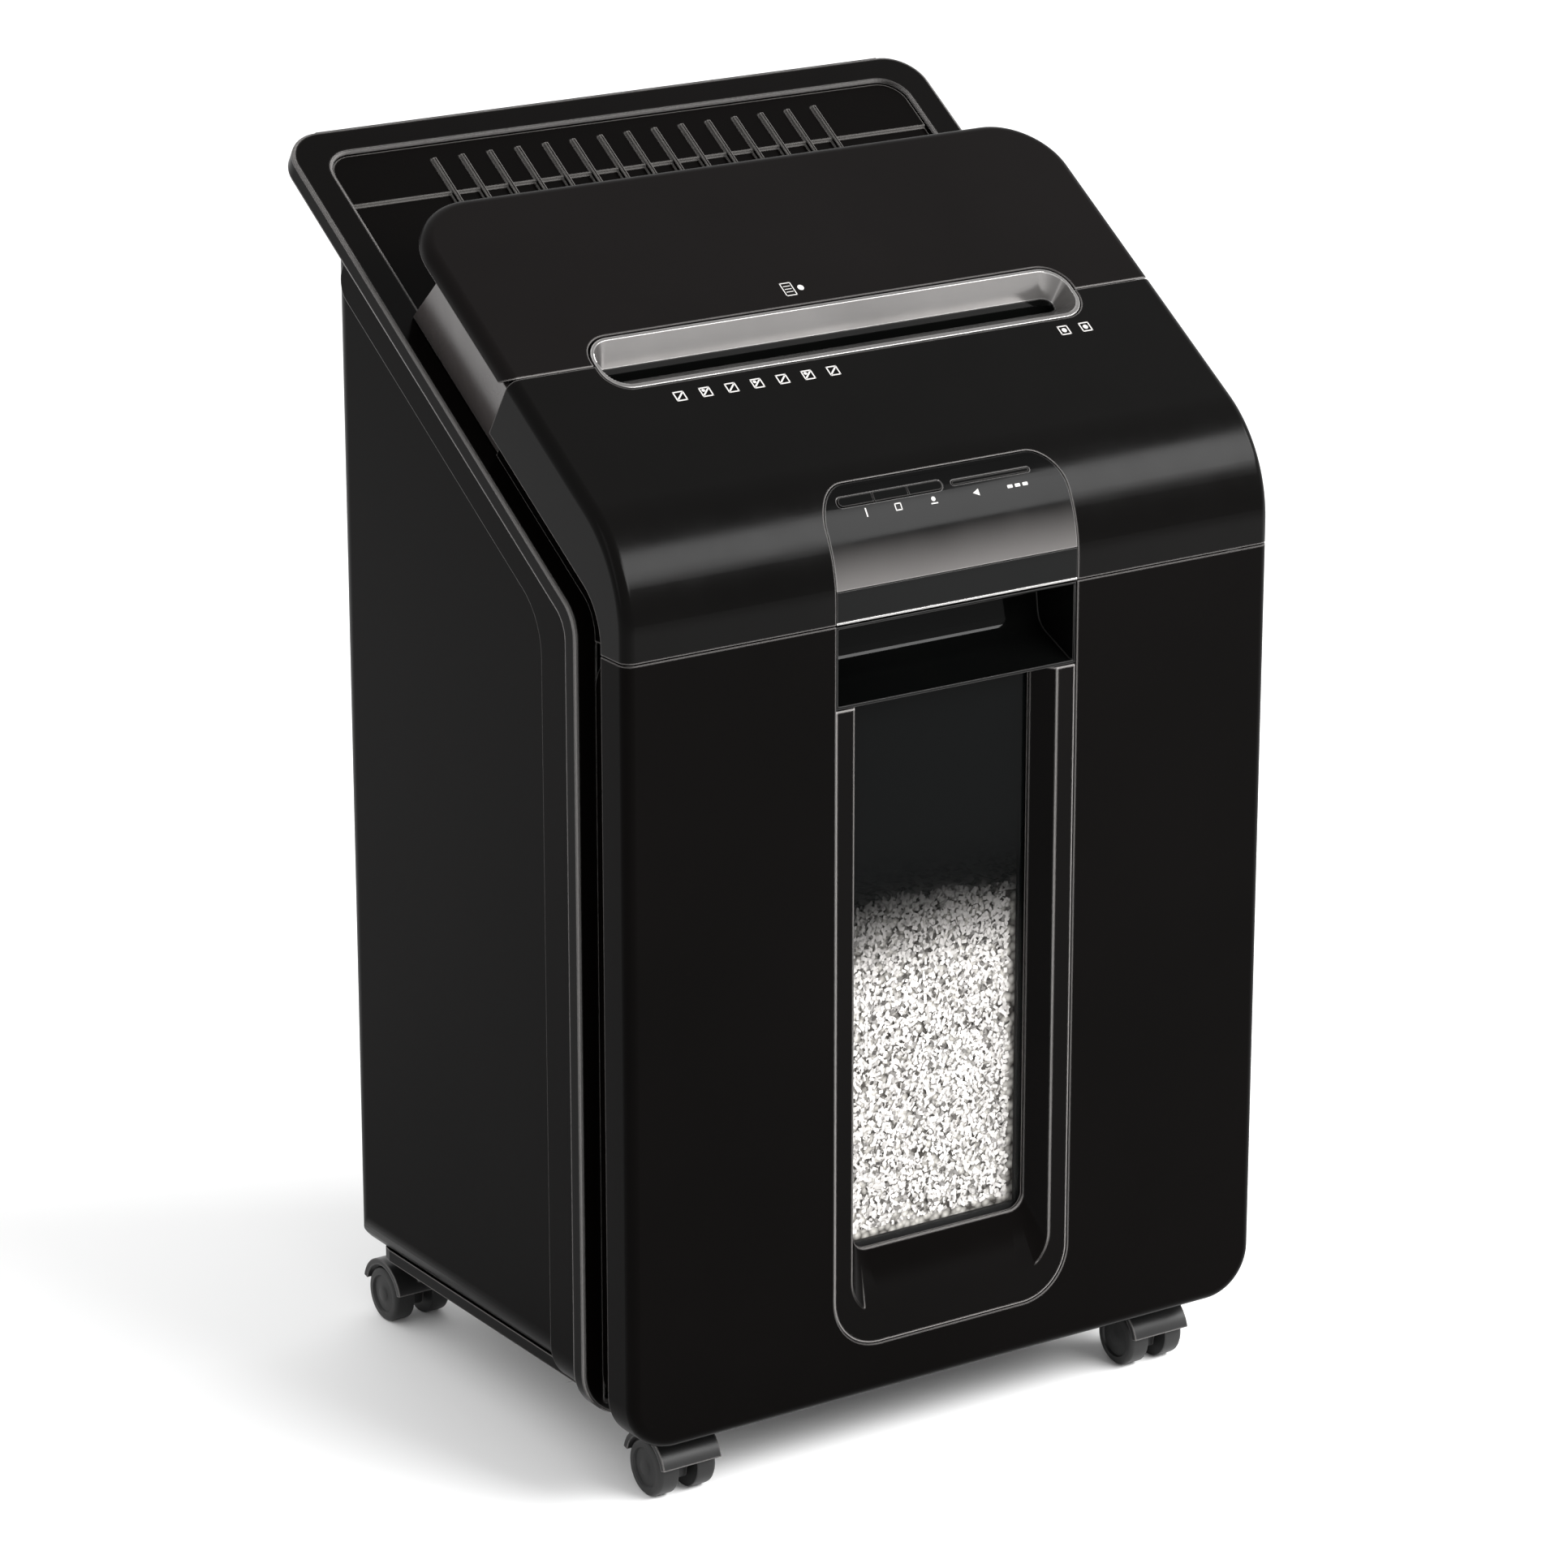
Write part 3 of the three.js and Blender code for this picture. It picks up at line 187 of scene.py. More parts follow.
def new_solid(vertices, faces):
    mesh = bpy.data.meshes.new("solid")
    mesh.from_pydata([tuple(v) for v in vertices], [], faces)
    edit = bmesh.new()
    edit.from_mesh(mesh)
    bmesh.ops.recalc_face_normals(edit, faces=edit.faces)
    edit.to_mesh(mesh)
    edit.free()
    solid = bpy.data.objects.new("solid", mesh)
    bpy.context.scene.collection.objects.link(solid)
    return solid


def rings_solid(rings):
    """Closed body through rings of the same number of points."""
    count = len(rings[0])
    faces = [list(range(count))[::-1]]
    for level in range(len(rings) - 1):
        for here in range(count):
            after = (here + 1) % count
            low, high = level * count, (level + 1) * count
            faces.append([low + here, low + after, high + after, high + here])
    faces.append([(len(rings) - 1) * count + here for here in range(count)])
    return new_solid([point for ring in rings for point in ring], faces)


def prism(axis, outline, low, high, bevel=0, steps=6):
    """Prism along an axis; a bevel rounds both ends inwards."""
    levels = [(0, low), (0, high)]
    if bevel:
        arc = [math.pi / 2 * step / steps for step in range(steps + 1)]
        start = [(bevel * (1 - math.sin(t)), low + bevel * (1 - math.cos(t))) for t in arc]
        end = [(margin, low + high - along) for margin, along in reversed(start)]
        levels = start + end
    place = PLACE[axis]
    rings = []
    for margin, along in levels:
        points = inset(outline, margin) if margin > 1e-6 else outline
        rings.append([place(point.x, point.y, along) for point in points])
    return rings_solid(rings)


def box(x0, x1, y0, y1, z0, z1):
    return prism("z", rectangle(x0, x1, y0, y1), z0, z1)


def rod(x0, x1, centre, radius, sides=32):
    return prism("x", circle(*centre, radius, sides), x0, x1)


def combine(solid, other, operation):
    cut = solid.modifiers.new("combine", "BOOLEAN")
    cut.object = other
    cut.operation = operation
    cut.solver = "MANIFOLD"
    depsgraph = bpy.context.evaluated_depsgraph_get()
    mesh = bpy.data.meshes.new_from_object(solid.evaluated_get(depsgraph))
    solid.modifiers.clear()
    solid.data = mesh
    bpy.data.objects.remove(other)
    return solid


def minus(solid, *others):
    for other in others:
        combine(solid, other, "DIFFERENCE")
    return solid


def plus(solid, *others):
    for other in others:
        combine(solid, other, "UNION")
    return solid


def common(solid, *others):
    for other in others:
        combine(solid, other, "INTERSECT")
    return solid


def copied(solid):
    other = solid.copy()
    other.data = solid.data.copy()
    bpy.context.scene.collection.objects.link(other)
    return other


def moved(solid, matrix):
    solid.data.transform(matrix)
    return solid


SLOPE_PLACE = Matrix.Translation((0, *LID_SEAM)) @ Matrix.Rotation(SLOPE, 4, "X")


def tilt(solid):
    """Moves a solid made in slope coordinates into place."""
    return moved(solid, SLOPE_PLACE)


def span(side, near, far):
    return (near, far) if side > 0 else (-far, -near)


# ---------------------------------------------------------------- materials


class Nodes:
    """A node material under construction."""

    def __init__(self, name, color, roughness, metallic=0.0, specular=0.5):
        self.material = bpy.data.materials.new(name)
        self.material.use_nodes = True
        self.tree = self.material.node_tree
        self.shader = self.tree.nodes["Principled BSDF"]
        self.shader.inputs["Base Color"].default_value = (*color, 1)
        self.shader.inputs["Roughness"].default_value = roughness
        self.shader.inputs["Metallic"].default_value = metallic
        self.shader.inputs["Specular IOR Level"].default_value = specular
        self.place = self.node("ShaderNodeTexCoord").outputs["Object"]

    def node(self, kind, **inputs):
        node = self.tree.nodes.new(kind)
        for name, value in inputs.items():
            node.inputs[name].default_value = value
        return node

    def link(self, output, target):
        self.tree.links.new(output, target)

    def noise(self, scale, detail=3.0, stretch=None):
        texture = self.node("ShaderNodeTexNoise", Scale=scale, Detail=detail)
        place = self.place
        if stretch:
            mapping = self.node("ShaderNodeMapping", Scale=stretch)
            self.link(place, mapping.inputs["Vector"])
            place = mapping.outputs["Vector"]
        self.link(place, texture.inputs["Vector"])
        return texture.outputs["Fac"]

    def vary_color(self, factor, low, high, edges=(0.3, 0.7)):
        ramp = self.node("ShaderNodeValToRGB")
        ramp.color_ramp.elements[0].position = edges[0]
        ramp.color_ramp.elements[1].position = edges[1]
        ramp.color_ramp.elements[0].color = (*low, 1)
        ramp.color_ramp.elements[1].color = (*high, 1)
        self.link(factor, ramp.inputs["Fac"])
        self.link(ramp.outputs["Color"], self.shader.inputs["Base Color"])

    def vary_roughness(self, factor, low, high):
        spread = self.node("ShaderNodeMapRange")
        spread.inputs["From Min"].default_value = 0.3
        spread.inputs["From Max"].default_value = 0.7
        spread.inputs["To Min"].default_value = low
        spread.inputs["To Max"].default_value = high
        self.link(factor, spread.inputs["Value"])
        self.link(spread.outputs["Result"], self.shader.inputs["Roughness"])

    def paint_edge_highlights(self, color, reach=0.0009, strength=0.8):
        """Painted edge highlights: lighter where the surface turns sharply within the reach."""
        rounded_normal = self.node("ShaderNodeBevel", Radius=reach).outputs["Normal"]
        normal = self.node("ShaderNodeNewGeometry").outputs["Normal"]
        facing = self.node("ShaderNodeVectorMath")
        facing.operation = "DOT_PRODUCT"
        self.link(rounded_normal, facing.inputs[0])
        self.link(normal, facing.inputs[1])
        highlight_mask = self.node("ShaderNodeMapRange")
        highlight_mask.inputs["From Min"].default_value = 0.992
        highlight_mask.inputs["From Max"].default_value = 0.90
        highlight_mask.inputs["To Max"].default_value = strength
        self.link(facing.outputs["Value"], highlight_mask.inputs["Value"])
        blend = self.node("ShaderNodeMix")
        blend.data_type = "RGBA"
        base = self.shader.inputs["Base Color"]
        source = base.links[0].from_socket
        mix = {socket.name: socket for socket in blend.inputs if socket.type == "RGBA"}
        mix["B"].default_value = (*color, 1)
        self.link(highlight_mask.outputs["Result"], blend.inputs[0])
        self.link(source, mix["A"])
        output = [socket for socket in blend.outputs if socket.type == "RGBA"][0]
        self.link(output, base)

    def bump(self, height, strength, distance):
        bump = self.node("ShaderNodeBump", Strength=strength, Distance=distance)
        self.link(height, bump.inputs["Height"])
        self.link(bump.outputs["Normal"], self.shader.inputs["Normal"])


def moulded(
    name, low, high, roughness, specular, grain=2600.0, relief=0.00002, edge=None, reach=0.0009
):
    """Injection-moulded plastic: fine spark-eroded grain and slight changes of tone."""
    made = Nodes(name, high, roughness, specular=specular)
    made.vary_color(made.noise(9.0), low, high)
    if edge:
        # Painted highlights along sharp edges, in the edge colour.
        made.paint_edge_highlights(edge, reach)
    made.vary_roughness(made.noise(60.0, 4.0), roughness - 0.02, roughness + 0.03)
    made.bump(made.noise(grain, 2.0), 0.35, relief)
    return made.material


def polished(name, low, high, roughness, specular, metallic=0.0, edge=None):
    """Glossy moulded or lacquered plastic with the faint waviness of a moulded surface."""
    made = Nodes(name, high, roughness, metallic, specular)
    made.vary_color(made.noise(12.0), low, high)
    if edge:
        # Painted highlights along sharp edges, in the edge colour.
        made.paint_edge_highlights(edge, 0.0006)
    made.vary_roughness(made.noise(35.0, 5.0), roughness * 0.8, roughness * 1.2)
    made.bump(made.noise(25.0, 1.0), 0.04, 0.0002)
    return made.material


def faded_panel():
    """Glossy panel with a silver fade that is lightest along its lower part."""
    made = Nodes("faded panel", (0.002, 0.002, 0.002), 0.12, specular=0.04)
    height = made.node("ShaderNodeSeparateXYZ")
    made.link(made.place, height.inputs["Vector"])
    fade = made.node("ShaderNodeMapRange")
    fade.inputs["From Min"].default_value = 0.4135
    fade.inputs["From Max"].default_value = 0.387
    made.link(height.outputs["Z"], fade.inputs["Value"])
    cloud = made.node("ShaderNodeMath")
    cloud.operation = "MULTIPLY_ADD"
    cloud.inputs[1].default_value = 0.12
    made.link(made.noise(25.0), cloud.inputs[0])
    made.link(fade.outputs["Result"], cloud.inputs[2])
    dark, silver = (0.0015, 0.0015, 0.0015), (0.085, 0.081, 0.079)
    made.vary_color(cloud.outputs["Value"], dark, silver, (0.3, 1.1))
    # Painted highlights along the panel's sharp edges.
    made.paint_edge_highlights((0.3, 0.29, 0.285), 0.0006)
    made.vary_roughness(made.noise(35.0, 5.0), 0.09, 0.15)
    made.bump(made.noise(25.0, 1.0), 0.04, 0.0002)
    return made.material


def metal(name, low, high, roughness, stretch=(1.0, 60.0, 60.0)):
    """Drawn or ground metal with fine lines along one direction."""
    made = Nodes(name, high, roughness, metallic=1.0)
    lines = made.noise(30.0, 6.0, stretch)
    made.vary_color(lines, low, high)
    made.vary_roughness(lines, roughness - 0.08, roughness + 0.1)
    made.bump(lines, 0.15, 0.00003)
    return made.material


def rubber(name, low, high):
    made = Nodes(name, high, 0.8, specular=0.3)
    made.vary_color(made.noise(80.0), low, high)
    made.vary_roughness(made.noise(300.0), 0.7, 0.92)
    made.bump(made.noise(1500.0), 0.5, 0.00005)
    return made.material


def paper_chips():
    """Printed and plain paper: each chip has its own tone, some with dark print."""
    made = Nodes("shredded paper", (0.6, 0.58, 0.55), 0.85, specular=0.2)
    chip = made.node("ShaderNodeNewGeometry").outputs["Random Per Island"]
    made.vary_color(chip, (0.07, 0.065, 0.06), (0.66, 0.64, 0.62), (0.03, 0.30))
    made.vary_roughness(made.noise(900.0), 0.8, 0.95)
    made.bump(made.noise(1600.0), 0.3, 0.00003)
    return made.material


def paper_core():
    made = Nodes("paper heap", (0.5, 0.48, 0.45), 0.9, specular=0.1)
    cells = made.node("ShaderNodeTexVoronoi", Scale=320.0)
    made.link(made.place, cells.inputs["Vector"])
    made.vary_color(cells.outputs["Distance"], (0.62, 0.60, 0.56), (0.06, 0.055, 0.05), (0.1, 0.8))
    made.vary_roughness(made.noise(500.0), 0.85, 0.98)
    made.bump(cells.outputs["Distance"], 0.6, 0.0008)
    return made.material


def pane_with_painted_shade():
    """Thin clear plastic, smoke-tinted, turning near black up the pane as painted shade over the
    shaded top of the paper heap.
    """
    made = Nodes("tinted pane with painted shade", (0.0012, 0.0014, 0.0014), 0.04, specular=0.03)
    made.vary_roughness(made.noise(40.0, 4.0), 0.02, 0.06)
    made.bump(made.noise(20.0, 1.0), 0.02, 0.0003)
    height = made.node("ShaderNodeSeparateXYZ")
    made.link(made.place, height.inputs["Vector"])
    # Alpha rises with height: smoke-tinted below, near black above as painted shade over the upper
    # heap.
    tint_and_shade = made.node("ShaderNodeMapRange")
    tint_and_shade.interpolation_type = "SMOOTHSTEP"
    tint_and_shade.inputs["From Min"].default_value = 0.205
    tint_and_shade.inputs["From Max"].default_value = 0.278
    tint_and_shade.inputs["To Min"].default_value = 0.05
    tint_and_shade.inputs["To Max"].default_value = 0.97
    made.link(height.outputs["Z"], tint_and_shade.inputs["Value"])
    made.link(tint_and_shade.outputs["Result"], made.shader.inputs["Alpha"])
    return made.material


# Painted edge highlights: this colour and the edge colours given to the materials below lighten
# sharp edges as highlights.
EDGE_HIGHLIGHT = (0.21, 0.20, 0.195)
BLACK = ((0.0008, 0.0006, 0.0005), (0.0012, 0.0009, 0.0008))  # lowest and highest tone
CASING = moulded(
    "casing plastic", (0.0007, 0.0006, 0.0005), (0.0011, 0.0009, 0.0008), 0.2, 0.05, edge=EDGE_HIGHLIGHT
)
BODY = moulded("body plastic", *BLACK, 0.22, 0.02, edge=EDGE_HIGHLIGHT)
SURROUND = moulded(
    "surround plastic", *BLACK, 0.2, 0.03, edge=(0.42, 0.40, 0.39), reach=0.0014
)
RIM = moulded("rim plastic", *BLACK, 0.2, 0.035, edge=(0.5, 0.48, 0.47), reach=0.0016)
LID = moulded(
    "lid plastic", (0.0022, 0.0017, 0.0016), (0.0030, 0.0024, 0.0023), 0.34, 0.04, edge=EDGE_HIGHLIGHT
)
TRAY = moulded("tray plastic", *BLACK, 0.28, 0.02, edge=(0.24, 0.23, 0.22), reach=0.0011)
GLOSS = polished(
    "gloss plastic", (0.0010, 0.0011, 0.0011), (0.0016, 0.0017, 0.0016), 0.06, 0.07,
    edge=(0.07, 0.067, 0.065),
)
PANEL = faded_panel()
TRIM = polished(
    "slot trim", (0.09, 0.086, 0.084), (0.13, 0.125, 0.122), 0.2, 0.7, 0.6, (0.7, 0.69, 0.68)
)
CHEEK = polished(
    "cheek plastic", (0.034, 0.030, 0.029), (0.054, 0.048, 0.047), 0.24, 0.4, 0.3,
    (0.5, 0.49, 0.48),
)
INNER = moulded("inner plastic", (0.008, 0.008, 0.008), (0.013, 0.013, 0.013), 0.55, 0.2)
CASTER = moulded(
    "caster plastic", (0.006, 0.006, 0.006), (0.011, 0.011, 0.011), 0.36, 0.25, edge=EDGE_HIGHLIGHT
)
WHEEL = moulded(
    "wheel plastic", (0.008, 0.008, 0.008), (0.014, 0.014, 0.014), 0.42, 0.25, 1200.0, 0.00004
)
GEAR = moulded("gear plastic", (0.52, 0.49, 0.42), (0.62, 0.58, 0.50), 0.45, 0.5)
MARKER = moulded("marker plastic", (0.30, 0.02, 0.02), (0.42, 0.03, 0.03), 0.4, 0.5)
BOARD = moulded("board", (0.012, 0.07, 0.03), (0.018, 0.11, 0.045), 0.35, 0.5, 500.0, 0.00003)
STEEL = metal("steel", (0.38, 0.38, 0.39), (0.55, 0.55, 0.56), 0.32)
BEARING = metal("bearing metal", (0.40, 0.29, 0.13), (0.55, 0.42, 0.20), 0.4)
MOTOR = moulded("motor paint", (0.10, 0.10, 0.11), (0.14, 0.14, 0.15), 0.4, 0.5, 700.0, 0.00003)
RUBBER = rubber("roller rubber", (0.012, 0.012, 0.012), (0.025, 0.025, 0.025))
MARK = moulded("printed mark", (0.34, 0.33, 0.32), (0.46, 0.45, 0.44), 0.5, 0.2)
PANE = pane_with_painted_shade()
CHIPS = paper_chips()
CORE = paper_core()

# ---------------------------------------------------------------- finishing a piece

TO_ROW = Matrix.Scale(MM, 4) @ Matrix.Translation((0, FRONT, 0))


def soften(thing, edge, angle=32, segments=3):
    """Rounds the sharp edges slightly and keeps flat faces flat in the shading."""
    if edge:
        bevel = thing.modifiers.new("edges", "BEVEL")
        bevel.width = edge * MM
        bevel.segments = segments
        bevel.limit_method = "ANGLE"
        bevel.angle_limit = math.radians(angle)
        bevel.use_clamp_overlap = False
        bevel.miter_outer = "MITER_ARC"
        bevel.harden_normals = False
    normals = thing.modifiers.new("normals", "WEIGHTED_NORMAL")
    normals.keep_sharp = True
    normals.weight = 80


def finish(solid, name, body, material, nodes=(), edge=0.35, angle=32):
    """Moves a solid into the row frame and makes it a piece that rides on a body."""
    moved(solid, TO_ROW)
    solid.name = name
    solid.data.name = name
    edit = bmesh.new()
    edit.from_mesh(solid.data)
    bmesh.ops.remove_doubles(edit, verts=edit.verts, dist=0.00002)
    bmesh.ops.dissolve_degenerate(edit, edges=edit.edges, dist=0.00001)
    edit.to_mesh(solid.data)
    edit.free()
    solid.data.shade_smooth()
    solid.data.set_sharp_from_angle(angle=math.radians(50))
    solid.data.materials.clear()
    solid.data.materials.append(material)
    soften(solid, edge, angle)
    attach(solid, body)
    if nodes:
        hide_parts(*nodes)
    return solid


# ---------------------------------------------------------------- casing and body


def casing_strip(skin, back, drop, foot, top, back_radius=0):
    return rounded(
        [
            (skin, foot),
            (back, foot),
            (*bend_corner(back, -drop), back_radius),
            on_slope(top, -drop),
            on_slope(top, -skin),
            (*bend_corner(skin, -skin), BEND_RADIUS - skin),
        ],
        28,
    )


def panel_outline(margin):
    half = CHANNEL_HALF - margin
    return rectangle(-half, half, HEAD_SEAM - 20, PANEL_TOP - margin, (0, 0, 15, 15), 12)


def slot_outline(margin):
    length, width = SLOT_HALF_LENGTH + margin, SLOT_HALF_WIDTH + margin
    return rectangle(-length, length, -width, width, 12 + margin, 12)


def top_casing():
    thick = casing_strip(0, 90, 90, HEAD_SEAM - 60, 60)
    thin = casing_strip(0, SHELL_DEPTH, COLLAR_DROP, HEAD_SEAM + GAP, -0.2, COLLAR_BEND)
    inside = SHELL_HALF - WALL
    hollow = prism("x", casing_strip(WALL, 70, 60, HEAD_SEAM - 10, 20), -inside, inside)
    casing = prism("x", thick, -SHELL_HALF, SHELL_HALF, EDGE_ROUND)
    common(casing, prism("x", thin, -SHELL_HALF - 1, SHELL_HALF + 1))
    minus(casing, hollow, tilt(prism("z", slot_outline(0.3), -40, 5)))
    minus(casing, prism("y", panel_outline(0), -5, 60))
    s, n = LID_PIVOT
    lug = rounded(
        [
            (s - 7, n + 4.5),
            (s + 7, n + 4.5),
            (s + 7, n - 1),
            (s + 3, n - 4.5, 2),
            (s - 3, n - 4.5, 2),
            (s - 7, n - 1),
        ],
        4,
    )
    for _, side in SIDES:
        plus(casing, tilt(prism("x", lug, *span(side, 141, 145))))
        plus(casing, tilt(rod(*span(side, 131.5, 142), LID_PIVOT, LID_PIN_RADIUS)))
    finish(casing, "casing_top", "cabinet", CASING, ["top_casing"])


def head_collar():
    foot = HEAD_SEAM + GAP
    outline = rounded(
        [
            (SHELL_DEPTH + GAP, foot),
            (RIM_FRONT - GAP, foot),
            (*bend_corner(RIM_FRONT - GAP, -RIM_DROP + GAP), RIM_BEND),
            on_slope(-0.3, -RIM_DROP + GAP),
            on_slope(-0.3, -COLLAR_DROP - GAP),
            (*bend_corner(SHELL_DEPTH + GAP, -COLLAR_DROP - GAP), COLLAR_BEND),
        ],
        20,
    )
    collar = prism("x", outline, -152, 152)
    minus(collar, box(-148, 148, 0, 200, HEAD_SEAM + 8, 600))
    finish(collar, "collar", "cabinet", CASING, ["head_collar"])


def body_frame():
    back = RIM_FRONT + RIM_THICK
    outline = rounded(
        [
            (RIM_FRONT, RIM_FRONT),
            (back, RIM_FRONT),
            (*bend_corner(back, -RIM_DROP - RIM_THICK), RIM_BEND - 4),
            on_slope(TRAY_END, -RIM_DROP - RIM_THICK),
            on_slope(TRAY_END, -RIM_DROP),
            (*bend_corner(RIM_FRONT, -RIM_DROP), RIM_BEND),
        ],
        16,
    )
    body = prism("x", outline, -RIM_HALF, RIM_HALF)
    front_view = rectangle(-RIM_HALF, RIM_HALF, RIM_FRONT, 700, (22, 22, 0, 0), 14)
    tray_view = rectangle(-RIM_HALF, RIM_HALF, -400, TRAY_END, (0, 0, 18, 18), 14)
    common(body, prism("y", front_view, 0, 400))
    common(body, tilt(prism("z", tray_view, -450, 50)))
    minus(body, box(-150, 150, 0, 100, RIM_FRONT + 8, HEAD_SEAM))
    minus(body, box(-138.5, 138.5, 0, 100, 0, RIM_FRONT + 10))
    inner = RIM_HALF - RIM_WIDTH
    opening = rectangle(-inner, inner, -62, TRAY_END - 14, (6, 6, 12, 12), 10)
    minus(body, tilt(prism("z", opening, -70, -30)))
    finish(body, "frame_and_rim", "cabinet", RIM, ["body_frame"], 1.1)


def tray_floor():
    half = RIM_HALF - RIM_WIDTH - GAP
    end = TRAY_END - 14 - GAP
    floor = prism("z", rectangle(-half, half, 14, FLOOR_STEP + 1), -50, -48)
    high = rectangle(-half, half, FLOOR_STEP, end, (0, 0, 11.7, 11.7), 10)
    plus(floor, prism("z", high, -50, -46.8))
    for rib in range(RIB_COUNT):
        x = (rib - (RIB_COUNT - 1) / 2) * RIB_PITCH
        plus(floor, box(x - 1, x + 1, 118, 167, -49, -45.4))
    finish(tilt(floor), "tray_plate", "cabinet", TRAY, ["tray_floor"], 0.45)


def tray_cheeks():
    section = (
        (148, -44.6), (151, -44.6), (153.6, -30), (157.5, -7.4), (154.5, -7.4), (150.6, -30)
    )
    for name, side in SIDES:
        across = [Vector((side * x, n)) for x, n in section]
        end = [Vector(point) for point in ((62, 0), (82, -50), (120, -50), (120, 0))]
        cheek = minus(prism("y", across, 0.4, 90), prism("x", end, -200, 200))
        finish(
            tilt(cheek), f"pocket_wall_{name}", "cabinet", CHEEK,
            [f"tray_cheek_{name}"], 0.5, 25,
        )


def cabinet_shell():
    front = RIM_FRONT + RIM_THICK + GAP
    under = -RIM_DROP - RIM_THICK - GAP
    top_front = (*bend_corner(front, under), RIM_BEND - 4 - GAP)
    top_rear = on_slope((CABINET_TOP - LID_SEAM[1] - under * COS) / SIN, under)

    def side_view(inset_by):
        return [
            (20 if inset_by else front, CABINET_BOTTOM + inset_by),
            (REAR_LOW - inset_by, CABINET_BOTTOM + inset_by, 10),
            (REAR_HIGH - inset_by, CABINET_TOP - inset_by, 26 - inset_by),
        ]

    def block(side, inset_by):
        half = CABINET_HALF - inset_by
        corner = 18 - inset_by
        solid = prism("x", side, -200, 200)
        low = rectangle(-half, half, CABINET_BOTTOM + inset_by, 700, (corner, corner, 0, 0), 12)
        corner = 14 - inset_by
        plan = rectangle(-half, half, -50, REAR_HIGH - inset_by, (0, 0, corner, corner), 12)
        return common(solid, prism("y", low, 0, 400), prism("z", plan, 0, 700))

    def band(inset_by):
        strip = rounded(
            [
                (front - inset_by, CABINET_BOTTOM + inset_by),
                (BAND_DEPTH - inset_by, CABINET_BOTTOM + inset_by),
                (*bend_corner(BAND_DEPTH - inset_by, -75 + inset_by), 30),
                (236 - inset_by, 479.6 - inset_by * SIN, 10),
                (
                    236 - 21.2 * SIN - inset_by,
                    479.6 + 21.2 * COS - inset_by * SIN + 2 * inset_by,
                ),
                (top_front[0] - inset_by, top_front[1] + 2 * inset_by, top_front[2]),
            ],
            14,
        )
        half = BAND_HALF - inset_by
        corner = 20 - inset_by
        low = rectangle(-half, half, CABINET_BOTTOM + inset_by, 700, (corner, corner, 0, 0), 12)
        return common(prism("x", strip, -200, 200), prism("y", low, 0, 400))

    outer = rounded([*side_view(0), top_rear, top_front], 14)
    inner = rounded([*side_view(WALL), (20, CABINET_TOP - WALL)], 14)
    shell = plus(block(outer, 0), band(0))
    minus(shell, block(inner, WALL), band(WALL))
    for _, side in SIDES:
        plus(shell, box(*span(side, 106, 116), 50, 246, CABINET_BOTTOM + 1, TUB_BOTTOM - GAP))
    minus(shell, prism("y", rectangle(-115, 115, 345, 470, 8), 240, 270))
    finish(shell, "cabinet_body", "cabinet", BODY, ["cabinet_shell"], 0.6, 40)


def feed_lid():
    plan = rectangle(-SHELL_HALF, SHELL_HALF, -30, LID_LENGTH, (0, 0, LID_CORNER, LID_CORNER), 18)
    lid = prism("z", plan, -40, 0, EDGE_ROUND)
    common(lid, box(-200, 200, 0.25, 200, -LID_THICK, 10))
    half = SHELL_HALF - 3.5
    pocket = rectangle(-half, half, 8, LID_LENGTH - 3.5, (0, 0, 26, 26), 14)
    minus(lid, prism("z", pocket, -20, -WALL))
    undercut = rounded([(-5, -0.5), (0.25, -0.5), (6, -8), (-5, -8)])
    minus(lid, prism("x", undercut, -200, 200), prism("z", slot_outline(0.8), -20, 5))
    finish(tilt(lid), "lid_cover", "lid", LID, ["feed_lid"])


# ---------------------------------------------------------------- slot and control panel


def throat_bezel():
    def in_space(outline, n):
        return [(p.x, *on_slope(p.y, n)) for p in outline]

    def level(outline, z):
        return [(p.x, p.y, z) for p in outline]

    def mouth(length, width, radius):
        return rectangle(-length, length, -width, width, radius, 12)

    def neck(length, margin, radius):
        return rectangle(-length, length, THROAT[0] - margin, THROAT[1] + margin, radius, 12)

    outer_neck = neck(THROAT_HALF_LENGTH + 2.2, 2.2, 4)
    bezel = rings_solid([level(outer_neck, THROAT_BOTTOM), level(outer_neck, 449)])
    plus(bezel, rings_solid([level(outer_neck, 448), in_space(mouth(118, 13.6, 11), -1)]))
    rim = mouth(SLOT_HALF_LENGTH - 0.2, SLOT_HALF_WIDTH - 0.2, 12)
    plus(bezel, tilt(prism("z", rim, -3, 0)))
    inner_neck = neck(THROAT_HALF_LENGTH, 0, 2.6)
    minus(bezel, rings_solid([level(inner_neck, THROAT_BOTTOM - 5), level(inner_neck, 463)]))
    flare = [level(inner_neck, 462), in_space(mouth(117.9, 13.4, 11.2), 1)]
    minus(bezel, rings_solid(flare))
    # The bezel's part more than 10 mm under the lid face is split off in dark gloss plastic:
    # painted shade down the throat.
    deep = tilt(box(-130, 130, -60, 60, -60, -10))
    throat_painted_shade = common(copied(bezel), copied(deep))
    minus(bezel, deep)
    finish(bezel, "slot_bezel", "cabinet", TRIM, ["throat_bezel"], 0.3, 40)
    finish(throat_painted_shade, "slot_chute", "cabinet", GLOSS, (), 0)


BEND_START = bend_corner(0, 0)[1] - BEND_RADIUS * math.tan((math.pi / 2 - SLOPE) / 2)


def on_bend(angle):
    """Frame on the bend of the casing: x across, y up the bend, z out of the surface."""
    place = (0, BEND_RADIUS * (1 - math.cos(angle)), BEND_START + BEND_RADIUS * math.sin(angle))
    return Matrix.Translation(place) @ Matrix.Rotation(math.pi / 2 - angle, 4, "X")


BUTTON_ROW = on_bend(math.radians(38.8))
MARK_ROW = on_bend(math.radians(33.2))


